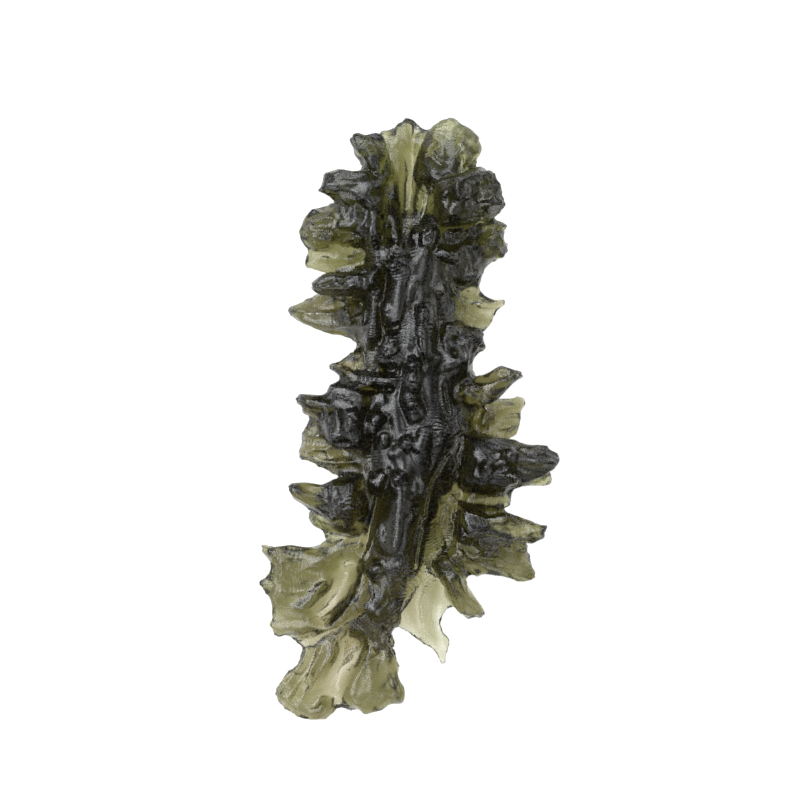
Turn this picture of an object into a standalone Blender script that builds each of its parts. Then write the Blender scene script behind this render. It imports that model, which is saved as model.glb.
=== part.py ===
"""Moldavite: one piece of deeply etched olive-green natural glass, lying flat.

The stone is a thick spine with thin fins all round it.  +Y runs along the spine, +Z is up.
"""
import bmesh
import bpy
from mathutils import Vector
from mathutils.bvhtree import BVHTree
from mathutils.geometry import intersect_point_line

# Driving dimensions, in metres.
STONE_LENGTH = 0.0423
STONE_WIDTH = 0.0210
STONE_THICKNESS = 0.0105
MM = 0.001

# The spine: a long lens of glass with a nearly round section.
SPINE_HALF_THICKNESS = 3.6 * MM
SPINE_MID_HEIGHT = 5.2 * MM
SPINE_ROUNDING = 4.2 * MM          # how far in from its edge the spine reaches full thickness
SPINE_SWELL_POWER = 1.6            # how quickly it thickens inward from that edge
SPINE_NARROWING = (                # y, share of thickness
    (-14.2, 0.60), (-9.0, 1.0), (-6.0, 1.0), (11.0, 1.0), (16.8, 0.60),
)
SPINE_OUTLINE = (
    (0.6, 17.2), (2.6, 17.4), (3.8, 15.0), (4.2, 11.0), (4.0, 8.0), (4.5, 5.2), (4.9, 2.2), (5.4, -1.0),
    (5.2, -3.0), (4.2, -4.4), (3.0, -5.6), (2.5, -7.0), (2.1, -8.6), (1.3, -10.4), (0.5, -12.2),
    (-0.6, -13.6), (-2.0, -14.2), (-3.3, -13.0), (-3.3, -10.0), (-3.2, -8.0), (-3.5, -6.0), (-4.3, -3.0),
    (-4.7, 1.0), (-3.7, 4.0), (-3.4, 7.0), (-3.6, 10.0), (-3.5, 12.6), (-2.4, 13.8), (-1.0, 14.0),
    (0.2, 14.6),
)

# How a fin narrows: it is thick where it leaves the spine and thin all round its free rim.
RIM_ROUNDING = 1.3 * MM            # how far in from the rim a fin reaches full thickness
RIM_SHARE = 0.24                   # rim thickness as a share of the thickness further in
TAPER_POWER = 1.1

# Each fin: name, height at its root, height at its tip, thickness at root, thickness at tip,
# slope across it (rise per unit to the right when looking from root to tip), outline from one
# side of its root, round the free rim, to the other side of its root.  All in millimetres.
FINS = (
    ("horn", 6.0, 7.2, 3.6, 2.3, 0.10, (
        (-2.4, 16.4), (-3.1, 17.25), (-3.2, 17.6), (-3.3, 17.95), (-3.75, 18.3), (-4.0, 18.9),
        (-4.03, 19.5), (-3.85, 19.75), (-3.5, 19.9), (-3.1, 19.75), (-2.6, 19.75), (-2.2, 19.9),
        (-1.7, 19.7), (-1.5, 19.2), (-1.25, 18.3), (-1.0, 16.6))),
    ("crown peak", 4.8, 3.8, 4.0, 1.0, 0.0, (
        (-2.4, 11.8), (-2.6, 16.6), (-2.5, 18.6), (-2.2, 19.9), (-1.9, 20.25), (-1.4, 20.25), (-1.05, 20.5),
        (-0.85, 20.75), (-0.4, 20.95), (-0.15, 21.25), (0.1, 21.05), (0.7, 20.6), (0.85, 20.3),
        (1.35, 20.15), (1.7, 19.8), (2.2, 17.6), (1.2, 15.6), (0.8, 11.8))),
    ("round top fin", 5.2, 4.0, 3.0, 1.3, 0.15, (
        (0.6, 16.6), (1.2, 19.4), (1.7, 20.5), (2.2, 20.95), (2.6, 21.0), (3.0, 21.05), (3.4, 20.9),
        (3.5, 20.5), (4.0, 20.45), (4.4, 20.15), (4.9, 19.65), (5.2, 19.2), (5.25, 18.85),
        (5.0, 18.5), (4.95, 18.0), (4.6, 17.3), (2.6, 15.4))),
    ("upper right block", 6.3, 6.4, 5.4, 4.2, -0.12, (
        (1.8, 16.4), (3.6, 17.0), (4.9, 17.5), (5.5, 17.45), (5.95, 17.2), (6.2, 16.8), (6.55, 16.4),
        (6.7, 16.1), (6.6, 15.8), (6.65, 15.4), (6.9, 15.0), (6.85, 14.65), (6.45, 14.4),
        (6.4, 14.0), (4.4, 13.4), (2.0, 13.2))),
    ("upper right barbs", 4.8, 4.0, 4.8, 2.0, 0.0, (
        (2.0, 13.8), (6.3, 14.1), (6.8, 13.8), (7.15, 13.6), (6.75, 13.4), (6.6, 13.1), (6.6, 12.75),
        (6.75, 12.5), (7.3, 12.35), (7.1, 12.0), (7.0, 11.6), (6.7, 11.2), (6.0, 10.9), (5.6, 10.5),
        (5.35, 9.7), (5.1, 9.4), (4.4, 9.2), (2.0, 9.2))),
    ("right fan spike", 4.8, 3.6, 2.8, 1.0, -0.15, (
        (1.8, 9.6), (4.4, 9.55), (5.1, 9.05), (5.5, 8.75), (6.1, 8.55), (6.95, 8.45), (6.9, 7.95),
        (6.5, 7.8), (6.25, 7.45), (6.05, 6.95), (5.9, 6.4), (5.5, 6.2), (3.6, 5.8), (1.8, 6.2))),
    ("right dark bulge", 5.6, 5.8, 5.2, 3.8, 0.0, (
        (1.6, 6.6), (4.6, 6.5), (5.55, 6.1), (5.5, 5.3), (5.55, 4.9), (5.1, 4.8), (4.85, 4.5),
        (4.7, 3.9), (4.5, 3.25), (3.6, 2.6), (1.6, 2.6))),
    ("right beak", 5.4, 7.2, 4.0, 2.2, 0.10, (
        (3.0, 3.6), (4.6, 3.1), (5.0, 3.1), (5.5, 3.3), (5.9, 3.55), (6.3, 3.85), (6.6, 3.8),
        (6.9, 3.6), (7.5, 3.45), (7.95, 3.35), (8.05, 3.0), (7.6, 2.85), (7.3, 2.6), (7.0, 2.25),
        (6.6, 1.8), (5.6, 1.0), (3.0, 1.2))),
    ("right pale fin", 4.6, 3.0, 3.0, 1.9, 0.10, (
        (3.4, 1.8), (6.4, 1.75), (7.1, 1.7), (7.9, 1.95), (8.05, 1.6), (8.35, 1.2), (8.1, 0.9),
        (7.95, 0.4), (7.95, 0.0), (8.1, -0.45), (7.9, -0.75), (7.7, -1.2), (6.0, -1.8),
        (3.4, -1.8))),
    ("right paddle", 6.0, 7.0, 5.2, 3.8, 0.10, (
        (3.6, -0.8), (7.4, -1.3), (8.3, -1.45), (9.1, -1.4), (9.8, -1.5), (10.0, -2.0), (10.3, -2.3),
        (10.5, -2.65), (10.3, -3.1), (10.1, -3.4), (9.4, -3.8), (8.0, -4.5), (6.4, -5.0),
        (3.6, -4.6))),
    ("paddle lip", 4.8, 4.0, 3.6, 1.3, 0.0, (
        (3.8, -2.6), (8.8, -3.0), (9.95, -3.4), (10.0, -4.3), (9.7, -4.5), (9.0, -4.6), (8.1, -4.7),
        (7.5, -4.95), (7.1, -5.1), (7.3, -5.85), (7.0, -6.0), (5.6, -6.4), (3.8, -5.8))),
    ("right lower spike", 5.6, 6.4, 3.0, 1.4, 0.12, (
        (3.4, -5.6), (6.4, -5.8), (7.5, -6.3), (8.3, -6.65), (9.0, -7.0), (9.5, -7.1), (9.9, -7.25),
        (9.65, -7.6), (9.5, -8.0), (9.3, -8.15), (8.9, -8.2), (8.5, -8.5), (6.6, -8.6),
        (3.4, -8.4))),
    ("right lower fin", 4.4, 3.2, 3.8, 2.3, -0.08, (
        (3.4, -7.0), (7.2, -7.6), (8.6, -8.4), (8.5, -8.9), (8.5, -9.4), (8.65, -9.9), (8.85, -10.4),
        (8.9, -11.0), (8.7, -11.3), (8.3, -11.4), (7.8, -11.35), (7.2, -11.1), (6.3, -10.85),
        (5.2, -10.6), (4.95, -10.7), (4.7, -10.95), (4.5, -10.6), (4.0, -10.45), (2.4, -10.0))),
    ("right lower web", 4.6, 4.0, 2.0, 1.6, 0.0, (
        (0.4, -3.8), (4.6, -3.8), (5.2, -5.6), (4.9, -9.0), (4.2, -10.4), (2.8, -10.9),
        (1.4, -10.9), (0.2, -8.6))),
    ("lower right finger", 4.6, 4.0, 3.8, 2.2, 0.0, (
        (3.4, -8.6), (4.0, -10.7), (4.15, -11.1), (4.35, -11.6), (4.6, -12.05), (5.0, -12.5),
        (5.2, -12.9), (5.4, -13.3), (5.5, -13.6), (4.9, -13.7), (4.2, -13.9), (3.7, -13.5),
        (3.4, -13.3), (2.4, -11.4), (1.4, -9.6))),
    ("lower right petal", 4.4, 2.8, 0.95, 0.45, 0.08, (
        (2.6, -9.4), (3.5, -11.6), (3.4, -13.1), (2.9, -13.05), (2.5, -13.25), (2.38, -13.65),
        (2.38, -14.4), (2.6, -14.8), (2.95, -15.1), (3.0, -15.5), (2.8, -16.0), (2.66, -16.5),
        (2.6, -17.2), (2.24, -17.0), (2.0, -16.5), (1.7, -16.0), (1.1, -15.7), (0.42, -15.1),
        (-0.14, -14.6), (-0.6, -14.35), (-1.6, -14.0), (-1.6, -11.0))),
    ("tail fan", 4.4, 3.2, 2.0, 1.7, 0.04, (
        (0.0, -11.6), (-0.9, -14.4), (-1.2, -14.8), (-1.15, -15.3), (-0.9, -15.8), (-0.65, -16.2),
        (-0.5, -17.0), (-0.4, -17.6), (-0.2, -18.1), (0.0, -18.5), (0.1, -19.2), (-0.4, -19.65),
        (-1.2, -19.65), (-1.6, -20.1), (-2.3, -20.3), (-2.9, -20.55), (-3.5, -20.4), (-4.2, -20.25),
        (-4.4, -19.85), (-4.8, -19.9), (-5.0, -20.1), (-5.3, -20.6), (-5.5, -20.95), (-6.6, -21.0),
        (-7.3, -20.85), (-7.9, -20.75), (-8.1, -20.4), (-8.5, -20.0), (-8.9, -19.6), (-9.4, -19.2),
        (-9.45, -18.9), (-9.15, -18.5), (-9.1, -17.9), (-8.9, -17.7), (-8.4, -17.4), (-8.0, -17.05),
        (-7.7, -16.7), (-7.35, -16.2), (-7.2, -15.7), (-5.6, -14.7), (-3.4, -12.4))),
    ("lower left flange", 4.8, 3.8, 2.5, 2.1, 0.05, (
        (-1.8, -13.0), (-6.2, -15.2), (-7.5, -15.5), (-7.9, -15.2), (-8.4, -15.1), (-8.9, -15.2),
        (-9.3, -14.9), (-9.6, -14.5), (-9.9, -14.1), (-9.6, -13.8), (-9.5, -13.3), (-9.55, -12.6),
        (-9.7, -12.1), (-10.1, -11.7), (-10.3, -11.45), (-10.5, -11.25), (-10.0, -11.0),
        (-9.7, -10.8), (-9.5, -10.45), (-9.45, -10.1), (-9.6, -9.75), (-9.9, -9.4), (-10.2, -9.1),
        (-10.35, -8.65), (-10.1, -8.5), (-9.6, -8.5), (-8.6, -8.4), (-7.3, -8.5), (-6.2, -8.4),
        (-5.6, -8.1), (-1.6, -7.8))),
    ("left lower spike", 5.6, 7.0, 2.6, 2.8, -0.10, (
        (-2.6, -6.6), (-5.2, -7.0), (-6.4, -6.4), (-7.0, -6.0), (-7.3, -5.8), (-7.8, -5.4),
        (-8.05, -5.05), (-8.2, -4.8), (-8.25, -4.3), (-7.9, -4.2), (-7.0, -4.2), (-6.3, -4.25),
        (-5.8, -4.2), (-5.1, -3.9), (-2.6, -3.6))),
    ("left lower flap", 4.8, 4.2, 2.3, 1.5, 0.10, (
        (-2.6, -8.6), (-5.65, -8.15), (-5.9, -7.9), (-6.2, -7.8), (-6.5, -7.55), (-6.7, -7.45),
        (-6.85, -6.9), (-7.0, -6.5), (-7.0, -5.9), (-6.0, -5.0), (-2.6, -4.6))),
    ("left upper block", 6.4, 7.0, 5.0, 3.4, 0.0, (
        (-2.4, -2.2), (-4.6, -2.0), (-5.6, -1.4), (-6.0, 0.0), (-7.2, 0.5), (-7.5, 1.0), (-7.75, 1.6),
        (-7.5, 1.9), (-6.5, 1.85), (-5.45, 1.8), (-5.4, 2.75), (-4.9, 2.65), (-4.4, 2.9),
        (-2.4, 2.6))),
    ("left lower block", 4.8, 4.0, 3.6, 2.4, 0.05, (
        (-2.4, -4.2), (-5.0, -3.75), (-5.3, -3.6), (-5.8, -3.5), (-6.4, -3.25), (-7.0, -2.95),
        (-7.6, -2.65), (-7.8, -2.35), (-7.4, -2.1), (-7.35, -1.5), (-7.45, -0.9), (-7.4, -0.55),
        (-7.05, -0.25), (-7.05, 0.3), (-6.6, 1.0), (-2.4, 1.2))),
    ("left small beak", 5.6, 5.6, 3.4, 1.6, 0.0, (
        (-1.6, 2.8), (-4.5, 2.9), (-4.9, 3.25), (-5.2, 3.45), (-5.6, 3.6), (-5.55, 3.85),
        (-5.2, 4.05), (-4.6, 4.4), (-4.2, 4.75), (-3.8, 5.0), (-1.6, 5.4))),
    ("left broad fin", 5.0, 3.4, 4.8, 2.6, 0.06, (
        (-1.6, 4.8), (-3.85, 5.4), (-4.0, 5.6), (-5.0, 5.9), (-6.0, 6.05), (-6.8, 6.4), (-7.4, 6.7),
        (-7.75, 6.85), (-8.1, 7.2), (-8.35, 7.45), (-8.2, 7.85), (-7.9, 8.05), (-7.4, 8.3),
        (-7.0, 8.6), (-6.4, 9.0), (-1.6, 9.4))),
    ("left dark spike", 6.4, 7.2, 4.4, 3.0, 0.0, (
        (-1.6, 8.6), (-4.2, 8.5), (-6.0, 8.6), (-6.6, 9.0), (-6.95, 9.4), (-6.5, 9.55),
        (-6.2, 9.8), (-5.6, 10.15), (-1.6, 10.8))),
    ("left pale paddle", 4.8, 4.2, 3.0, 1.5, 0.0, (
        (-1.8, 9.6), (-5.2, 9.9), (-6.0, 10.05), (-6.6, 10.25), (-7.2, 10.6), (-7.15, 10.9),
        (-7.0, 11.3), (-6.9, 11.9), (-5.2, 12.2), (-1.8, 12.4))),
    ("left upper fan", 5.6, 5.2, 4.2, 2.9, 0.10, (
        (-1.4, 11.8), (-6.2, 11.85), (-6.9, 11.9), (-7.2, 12.1), (-7.6, 12.4), (-7.5, 13.0),
        (-7.2, 13.5), (-7.15, 13.9), (-6.8, 14.35), (-6.5, 14.7), (-6.0, 14.7), (-5.3, 14.9),
        (-1.4, 15.2))),
    ("left upper knob", 6.4, 6.6, 5.2, 3.6, 0.0, (
        (-1.4, 13.8), (-4.6, 14.5), (-5.2, 15.15), (-5.6, 15.4), (-6.1, 15.6), (-6.5, 15.9),
        (-6.0, 16.2), (-5.8, 16.7), (-5.85, 17.1), (-5.4, 17.05), (-5.1, 17.15), (-4.7, 17.4),
        (-4.2, 17.5), (-3.7, 17.3), (-3.15, 17.3), (-1.4, 16.6))),
)

# A lower row of fins, hidden from above: each copies a fin at a smaller size and lower down.
# Name of the fin copied, size share, height at root, height at tip, thickness at root.
LOWER_FINS = (
    ("round top fin", 0.80, 3.4, 1.2, 2.6), ("upper right barbs", 0.82, 2.6, 0.9, 2.4),
    ("right dark bulge", 0.85, 3.0, 1.4, 2.6), ("right paddle", 0.62, 3.0, 0.7, 2.6),
    ("right lower spike", 0.66, 2.8, 0.8, 2.4), ("lower right finger", 0.62, 2.8, 1.2, 2.2),
    ("tail fan", 0.52, 2.6, 1.0, 2.4), ("left lower spike", 0.70, 3.2, 0.9, 1.5),
    ("left upper block", 0.80, 3.0, 0.9, 2.6), ("left dark spike", 0.80, 3.0, 0.8, 2.4),
    ("left upper knob", 0.78, 3.0, 1.0, 2.6),
)
LOWER_TIP = 0.9                    # thickness at the tip of every lower fin

# Ridges left standing between the etched grooves.  Each is a line of points: x, y, radius.
RIDGE_SINK = 0.25                  # share of its radius that a ridge's middle sits below the skin
RIDGE_BLADE = 0.35                 # how much taller than wide a ridge is, as a share of its radius
RIDGE_END_SHARE = 0.45             # radius left at both ends of a ridge
RIDGE_END_SINK = 0.9               # share of its radius that both ends dip below the skin
TOP_RIDGES = (
    ((-2.3, 14.4, 0.45), (-2.35, 13.0, 0.60), (-2.25, 11.6, 0.50), (-1.9, 10.2, 0.40)),
    ((-0.9, 11.5, 0.50), (-0.95, 10.5, 0.70), (-0.9, 9.5, 0.50)),
    ((-2.1, 8.8, 0.50), (-2.3, 7.4, 0.75), (-2.3, 5.8, 0.75), (-2.5, 4.6, 0.50)),
    ((-1.4, 8.5, 0.35), (-1.5, 7.7, 0.50), (-1.6, 6.8, 0.35)),
    ((0.75, 13.3, 0.40), (0.8, 12.4, 0.55), (0.75, 11.5, 0.40)),
    ((1.7, 13.6, 0.30), (1.7, 12.8, 0.45), (1.7, 12.0, 0.30)),
    ((1.9, 11.9, 0.40), (2.5, 11.4, 0.55), (3.7, 11.3, 0.40)),
    ((1.0, 8.2, 0.40), (0.9, 7.2, 0.55), (0.95, 6.2, 0.40)),
    ((2.3, 9.5, 0.30), (2.2, 8.9, 0.40), (2.2, 8.4, 0.30)),
    ((3.4, 6.6, 0.50), (2.8, 6.0, 0.70), (2.4, 5.2, 0.50)),
    ((-1.8, 4.8, 0.60), (-0.9, 5.1, 1.00), (-0.2, 4.8, 0.60)),
    ((0.3, 4.5, 0.50), (0.4, 3.8, 0.70), (0.6, 3.1, 0.45)),
    ((2.1, 5.0, 0.35), (2.0, 4.2, 0.50), (1.6, 3.5, 0.35)),
    ((-5.2, 3.7, 0.30), (-4.2, 3.25, 0.45), (-3.0, 2.85, 0.50), (-1.6, 2.65, 0.45), (-0.2, 2.6, 0.30)),
    ((0.2, 2.8, 0.35), (0.4, 2.3, 0.50), (0.6, 1.8, 0.35)),
    ((0.0, 1.7, 0.40), (0.25, 1.1, 0.55), (0.5, 0.6, 0.40)),
    ((-1.6, 0.9, 0.50), (-2.2, 0.1, 0.70), (-2.4, -1.4, 0.50)),
    ((-4.3, 0.9, 0.40), (-3.9, -0.2, 0.60), (-3.3, -1.9, 0.40)),
    ((1.8, 0.5, 0.40), (2.2, -0.5, 0.65), (2.2, -2.0, 0.50)),
    ((5.8, 1.1, 0.40), (5.4, 0.2, 0.65), (4.9, -0.8, 0.40)),
    ((0.15, -0.7, 0.40), (0.0, -1.5, 0.60), (-0.35, -2.3, 0.40)),
    ((-0.8, -1.5, 0.35), (-0.85, -2.2, 0.50), (-0.95, -3.0, 0.35)),
    ((-1.4, -3.2, 0.50), (-1.9, -4.0, 0.80), (-2.3, -4.8, 0.50)),
    ((-0.2, -3.1, 0.40), (-0.6, -3.9, 0.60), (-0.75, -4.6, 0.40)),
    ((0.5, -3.4, 0.40), (0.8, -4.6, 0.60), (0.9, -5.5, 0.40)),
    ((6.0, -2.1, 0.40), (6.9, -2.3, 0.70), (7.7, -2.45, 0.40)),
    ((5.7, -2.5, 0.40), (5.3, -3.2, 0.55), (5.0, -4.0, 0.40)),
    ((6.4, -3.4, 0.35), (7.2, -3.9, 0.50), (7.9, -4.3, 0.35)),
    ((-3.9, -4.2, 0.50), (-4.0, -5.8, 0.80), (-4.0, -7.6, 0.50)),
    ((0.0, -4.9, 0.40), (0.3, -6.0, 0.50), (0.2, -7.0, 0.40)),
    ((-1.7, -6.2, 0.35), (-1.9, -7.6, 0.50), (-1.7, -9.1, 0.35)),
    ((-2.2, -9.2, 0.60), (-2.1, -10.2, 0.90), (-1.9, -11.2, 0.60)),
    ((-2.2, -11.8, 0.40), (-2.4, -12.8, 0.55), (-2.2, -13.8, 0.40)),
    ((-0.4, -8.8, 0.40), (-0.5, -9.8, 0.50), (-0.5, -10.6, 0.35)),
    ((8.4, -7.4, 0.50), (6.6, -6.8, 0.60), (5.2, -6.6, 0.60)),
    ((6.6, -9.6, 0.50), (5.2, -8.8, 0.70), (4.6, -7.4, 0.60)),
    ((5.4, 15.6, 0.80), (3.6, 15.8, 1.00), (2.0, 15.0, 0.80)),
    ((-3.4, 12.2, 0.50), (-5.2, 12.6, 0.60), (-6.6, 13.0, 0.50)),
    ((-3.6, 16.0, 1.00), (-4.8, 16.4, 0.70)),
    ((-5.6, 7.2, 0.40), (-4.0, 7.4, 0.70), (-3.0, 8.0, 0.50)),
)
BOTTOM_RIDGES = (
    ((0.0, 14.2, 0.5), (-0.8, 12.6, 0.9), (-1.0, 10.8, 1.0), (-0.6, 8.0, 0.9)),
    ((2.6, 13.8, 0.8), (1.8, 11.0, 0.9), (2.0, 8.0, 0.8)),
    ((-2.6, 9.0, 0.7), (-1.8, 5.6, 0.9), (-2.4, 2.4, 0.8)),
    ((0.4, 6.4, 0.9), (1.0, 3.0, 1.0), (0.2, -0.6, 1.0), (0.8, -3.4, 0.8)),
    ((3.4, 4.4, 0.7), (3.0, 1.2, 0.8), (3.6, -2.0, 0.8)),
    ((-3.4, 0.8, 0.8), (-2.4, -2.4, 0.9), (-2.8, -5.6, 0.9)),
    ((2.8, -4.6, 0.9), (2.2, -7.4, 1.0), (0.8, -10.2, 0.8)),
    ((-0.6, -5.6, 1.0), (-1.2, -8.6, 1.0), (-1.9, -11.6, 0.9), (-2.2, -13.0, 0.6)),
)

# Spikes that point down and out; the first four are the ones the stone lies on.
# Each is a line of points: x, y, height, radius.
DOWN_SPIKES = (
    ((-1.8, 13.2, 3.8, 1.4), (-2.9, 13.5, 1.9, 0.95), (-3.8, 13.8, -0.6, 0.4)),
    ((2.0, 11.8, 3.8, 1.4), (3.1, 12.1, 1.9, 0.95), (4.1, 12.4, -0.6, 0.4)),
    ((-2.6, -5.6, 3.6, 1.4), (-3.7, -6.0, 1.8, 0.95), (-4.7, -6.4, -0.6, 0.4)),
    ((4.2, -2.6, 3.6, 1.4), (5.3, -2.9, 1.8, 0.95), (6.2, -3.2, -0.6, 0.4)),
    ((-2.0, 6.6, 3.6, 1.2), (-3.0, 6.9, 2.2, 0.8), (-3.8, 7.2, 0.9, 0.35)),
    ((2.4, 3.4, 3.6, 1.2), (3.5, 3.3, 2.2, 0.8), (4.5, 3.2, 0.9, 0.35)),
    ((-1.6, -12.4, 3.6, 1.1), (-1.4, -13.6, 2.4, 0.7), (-1.4, -14.4, 1.3, 0.35)),
)

# Where the stone has been rubbed by lying down: its lowest tips end on one plane.
REST_WEAR = 0.30 * MM

# Working sizes of the mesh.
UNIT_HALF_PLATE = 1.0 * MM
PLATE_VOXEL = 0.40 * MM
BODY_VOXEL = 0.27 * MM
SMOOTH_ROUNDS = 3
SMOOTH_FACTOR = 0.45
TRIANGLES_KEPT = 9200
BAR_ROUNDNESS = 2                  # steps in each rounded quarter of a ridge's section
THINNEST_HALF = 0.30 * MM          # thinner glass than this would be lost when the skin is fused

GLASS_COLOR = (0.10, 0.13, 0.04, 1.0)
GLASS_ROUGHNESS = 0.25


def clear_scene():
    for item in list(bpy.data.objects):
        bpy.data.objects.remove(item, do_unlink=True)


def collection(name):
    group = bpy.data.collections.new(name)
    bpy.context.scene.collection.children.link(group)
    return group


def glass():
    material = bpy.data.materials.new("olive glass")
    material.use_nodes = True
    shader = material.node_tree.nodes["Principled BSDF"]
    shader.inputs["Base Color"].default_value = GLASS_COLOR
    shader.inputs["Roughness"].default_value = GLASS_ROUGHNESS
    shader.inputs["Metallic"].default_value = 0.0
    return material


def finished_mesh(item):
    """The object's mesh with its modifiers worked in."""
    bpy.context.view_layer.update()
    graph = bpy.context.evaluated_depsgraph_get()
    return bpy.data.meshes.new_from_object(item.evaluated_get(graph), depsgraph=graph)


def mesh_object(name, mesh, group):
    item = bpy.data.objects.new(name, mesh)
    group.objects.link(item)
    return item


def voxel_skin(item, size):
    skin = item.modifiers.new("skin", "REMESH")
    skin.mode = "VOXEL"
    skin.voxel_size = size
    return skin


def flat_plate(outline, group):
    """A plate of unit thickness filling the outline, with points all over its two faces."""
    curve = bpy.data.curves.new("plate", "CURVE")
    curve.dimensions = "2D"
    curve.fill_mode = "BOTH"
    curve.extrude = UNIT_HALF_PLATE
    spline = curve.splines.new("POLY")
    spline.points.add(len(outline) - 1)
    for point, (x, y) in zip(spline.points, outline):
        point.co = (x * MM, y * MM, 0.0, 1.0)
    spline.use_cyclic_u = True
    item = bpy.data.objects.new("plate", curve)
    group.objects.link(item)
    solid = mesh_object("plate solid", finished_mesh(item), group)
    voxel_skin(solid, PLATE_VOXEL)
    mesh = finished_mesh(solid)
    bpy.data.objects.remove(item)
    bpy.data.objects.remove(solid)
    return mesh


def distance_to_rim(spot, rim):
    """Distance in plan from a spot to the nearest edge of a closed run of points."""
    nearest = None
    for start, end in zip(rim, rim[1:]):
        foot, share = intersect_point_line(spot, start, end)
        foot = start.lerp(end, min(1.0, max(0.0, share)))
        gap = (spot - foot).length
        nearest = gap if nearest is None else min(nearest, gap)
    return nearest


def rounded_rise(gap, reach):
    """0 at the rim, 1 from `reach` inwards, rising like a quarter circle."""
    share = min(1.0, gap / reach)
    return (1.0 - (1.0 - share) ** 2) ** 0.5


def plan_points(outline):
    return [Vector((x * MM, y * MM, 0.0)) for x, y in outline]


def share_along(y, steps):
    """Value at y of a line drawn through (y, value) steps; flat beyond both ends."""
    value = steps[0][1]
    for (low, before), (high, after) in zip(steps, steps[1:]):
        share = min(1.0, max(0.0, (y - low) / (high - low)))
        value += (after - before) * share
    return value


def shape_spine(mesh):
    rim = plan_points(SPINE_OUTLINE + SPINE_OUTLINE[:1])
    for vertex in mesh.vertices:
        spot = Vector((vertex.co.x, vertex.co.y, 0.0))
        inside = min(1.0, distance_to_rim(spot, rim) / SPINE_ROUNDING)
        half = SPINE_HALF_THICKNESS * (1.0 - (1.0 - inside) ** SPINE_SWELL_POWER)
        half *= share_along(spot.y / MM, SPINE_NARROWING)
        side = vertex.co.z / UNIT_HALF_PLATE
        vertex.co.z = SPINE_MID_HEIGHT + side * max(half, THINNEST_HALF)


def shape_fin(mesh, outline, root_height, tip_height, root_thick, tip_thick, slope):
    """Turn a flat plate into a fin: thick at the root, thin at the rim, rising or falling."""
    rim = plan_points(outline)
    edge = rim + rim[:1]
    root = (rim[0] + rim[-1]) / 2
    tip = max(rim, key=lambda point: (point - root).length)
    reach = tip - root
    across = Vector((reach.y, -reach.x, 0.0)).normalized()
    for vertex in mesh.vertices:
        spot = Vector((vertex.co.x, vertex.co.y, 0.0))
        along = min(1.0, max(0.0, (spot - root).dot(reach) / reach.length_squared))
        thick = tip_thick + (root_thick - tip_thick) * (1.0 - along) ** TAPER_POWER
        swell = rounded_rise(distance_to_rim(spot, edge), RIM_ROUNDING)
        half = thick * MM / 2 * (RIM_SHARE + (1.0 - RIM_SHARE) * swell)
        middle = (root_height + (tip_height - root_height) * along) * MM
        middle += slope * (spot - root).dot(across)
        vertex.co.z = middle + vertex.co.z / UNIT_HALF_PLATE * max(half, THINNEST_HALF)


def shrunk(outline, share):
    """The outline drawn smaller about the middle of its root."""
    root_x = (outline[0][0] + outline[-1][0]) / 2
    root_y = (outline[0][1] + outline[-1][1]) / 2
    return tuple((root_x + (x - root_x) * share, root_y + (y - root_y) * share) for x, y in outline)


def build_plates(group):
    """The spine and both rows of fins, as overlapping closed shapes."""
    spine = flat_plate(SPINE_OUTLINE, group)
    shape_spine(spine)
    plates = [spine]
    fins = {fin[0]: fin for fin in FINS}
    for name, root_height, tip_height, root_thick, tip_thick, slope, outline in FINS:
        fin = flat_plate(outline, group)
        shape_fin(fin, outline, root_height, tip_height, root_thick, tip_thick, slope)
        plates.append(fin)
    for name, share, root_height, tip_height, root_thick in LOWER_FINS:
        slope, outline = fins[name][5:]
        outline = shrunk(outline, share)
        fin = flat_plate(outline, group)
        shape_fin(fin, outline, root_height, tip_height, root_thick, LOWER_TIP, -slope)
        plates.append(fin)
    return plates


def joined(meshes):
    """One bmesh holding all the given meshes."""
    body = bmesh.new()
    for mesh in meshes:
        body.from_mesh(mesh)
    return body


def fused(meshes, name, group):
    """Join overlapping closed meshes into one closed skin."""
    body = joined(meshes)
    mesh = bpy.data.meshes.new(name)
    body.to_mesh(mesh)
    body.free()
    item = mesh_object(name, mesh, group)
    voxel_skin(item, BODY_VOXEL)
    skin = finished_mesh(item)
    bpy.data.objects.remove(item)
    return skin


def skin_height(tree, x, y, upward):
    """Height of the topmost or bottommost skin at a spot in plan."""
    far = STONE_LENGTH if upward else -STONE_LENGTH
    hit = tree.ray_cast(Vector((x, y, far)), Vector((0.0, 0.0, -1.0 if upward else 1.0)))[0]
    return hit.z if hit else SPINE_MID_HEIGHT


def rounded_bar(points, blade, group):
    """A closed bar through (x, y, z, radius) points in millimetres, taller than wide by `blade`."""
    curve = bpy.data.curves.new("bar", "CURVE")
    curve.dimensions = "3D"
    curve.bevel_depth = MM
    curve.extrude = blade * MM
    curve.twist_mode = "Z_UP"
    curve.bevel_resolution = BAR_ROUNDNESS
    curve.use_fill_caps = True
    spline = curve.splines.new("POLY")
    spline.points.add(len(points) - 1)
    for point, (x, y, z, radius) in zip(spline.points, points):
        point.co = (x * MM, y * MM, z * MM, 1.0)
        point.radius = radius
    item = bpy.data.objects.new("bar", curve)
    group.objects.link(item)
    mesh = finished_mesh(item)
    bpy.data.objects.remove(item)
    return mesh


def ridge(points, tree, upward, group):
    """A rounded ridge laid along the skin, with both its ends dipping into it."""
    laid = []
    for place, (x, y, radius) in enumerate(points):
        at_end = place in (0, len(points) - 1)
        sink = radius * (RIDGE_END_SINK if at_end else RIDGE_SINK)
        height = skin_height(tree, x * MM, y * MM, upward) / MM + (-sink if upward else sink)
        laid.append((x, y, height, radius * (RIDGE_END_SHARE if at_end else 1.0)))
    return rounded_bar(laid, RIDGE_BLADE, group)


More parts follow.
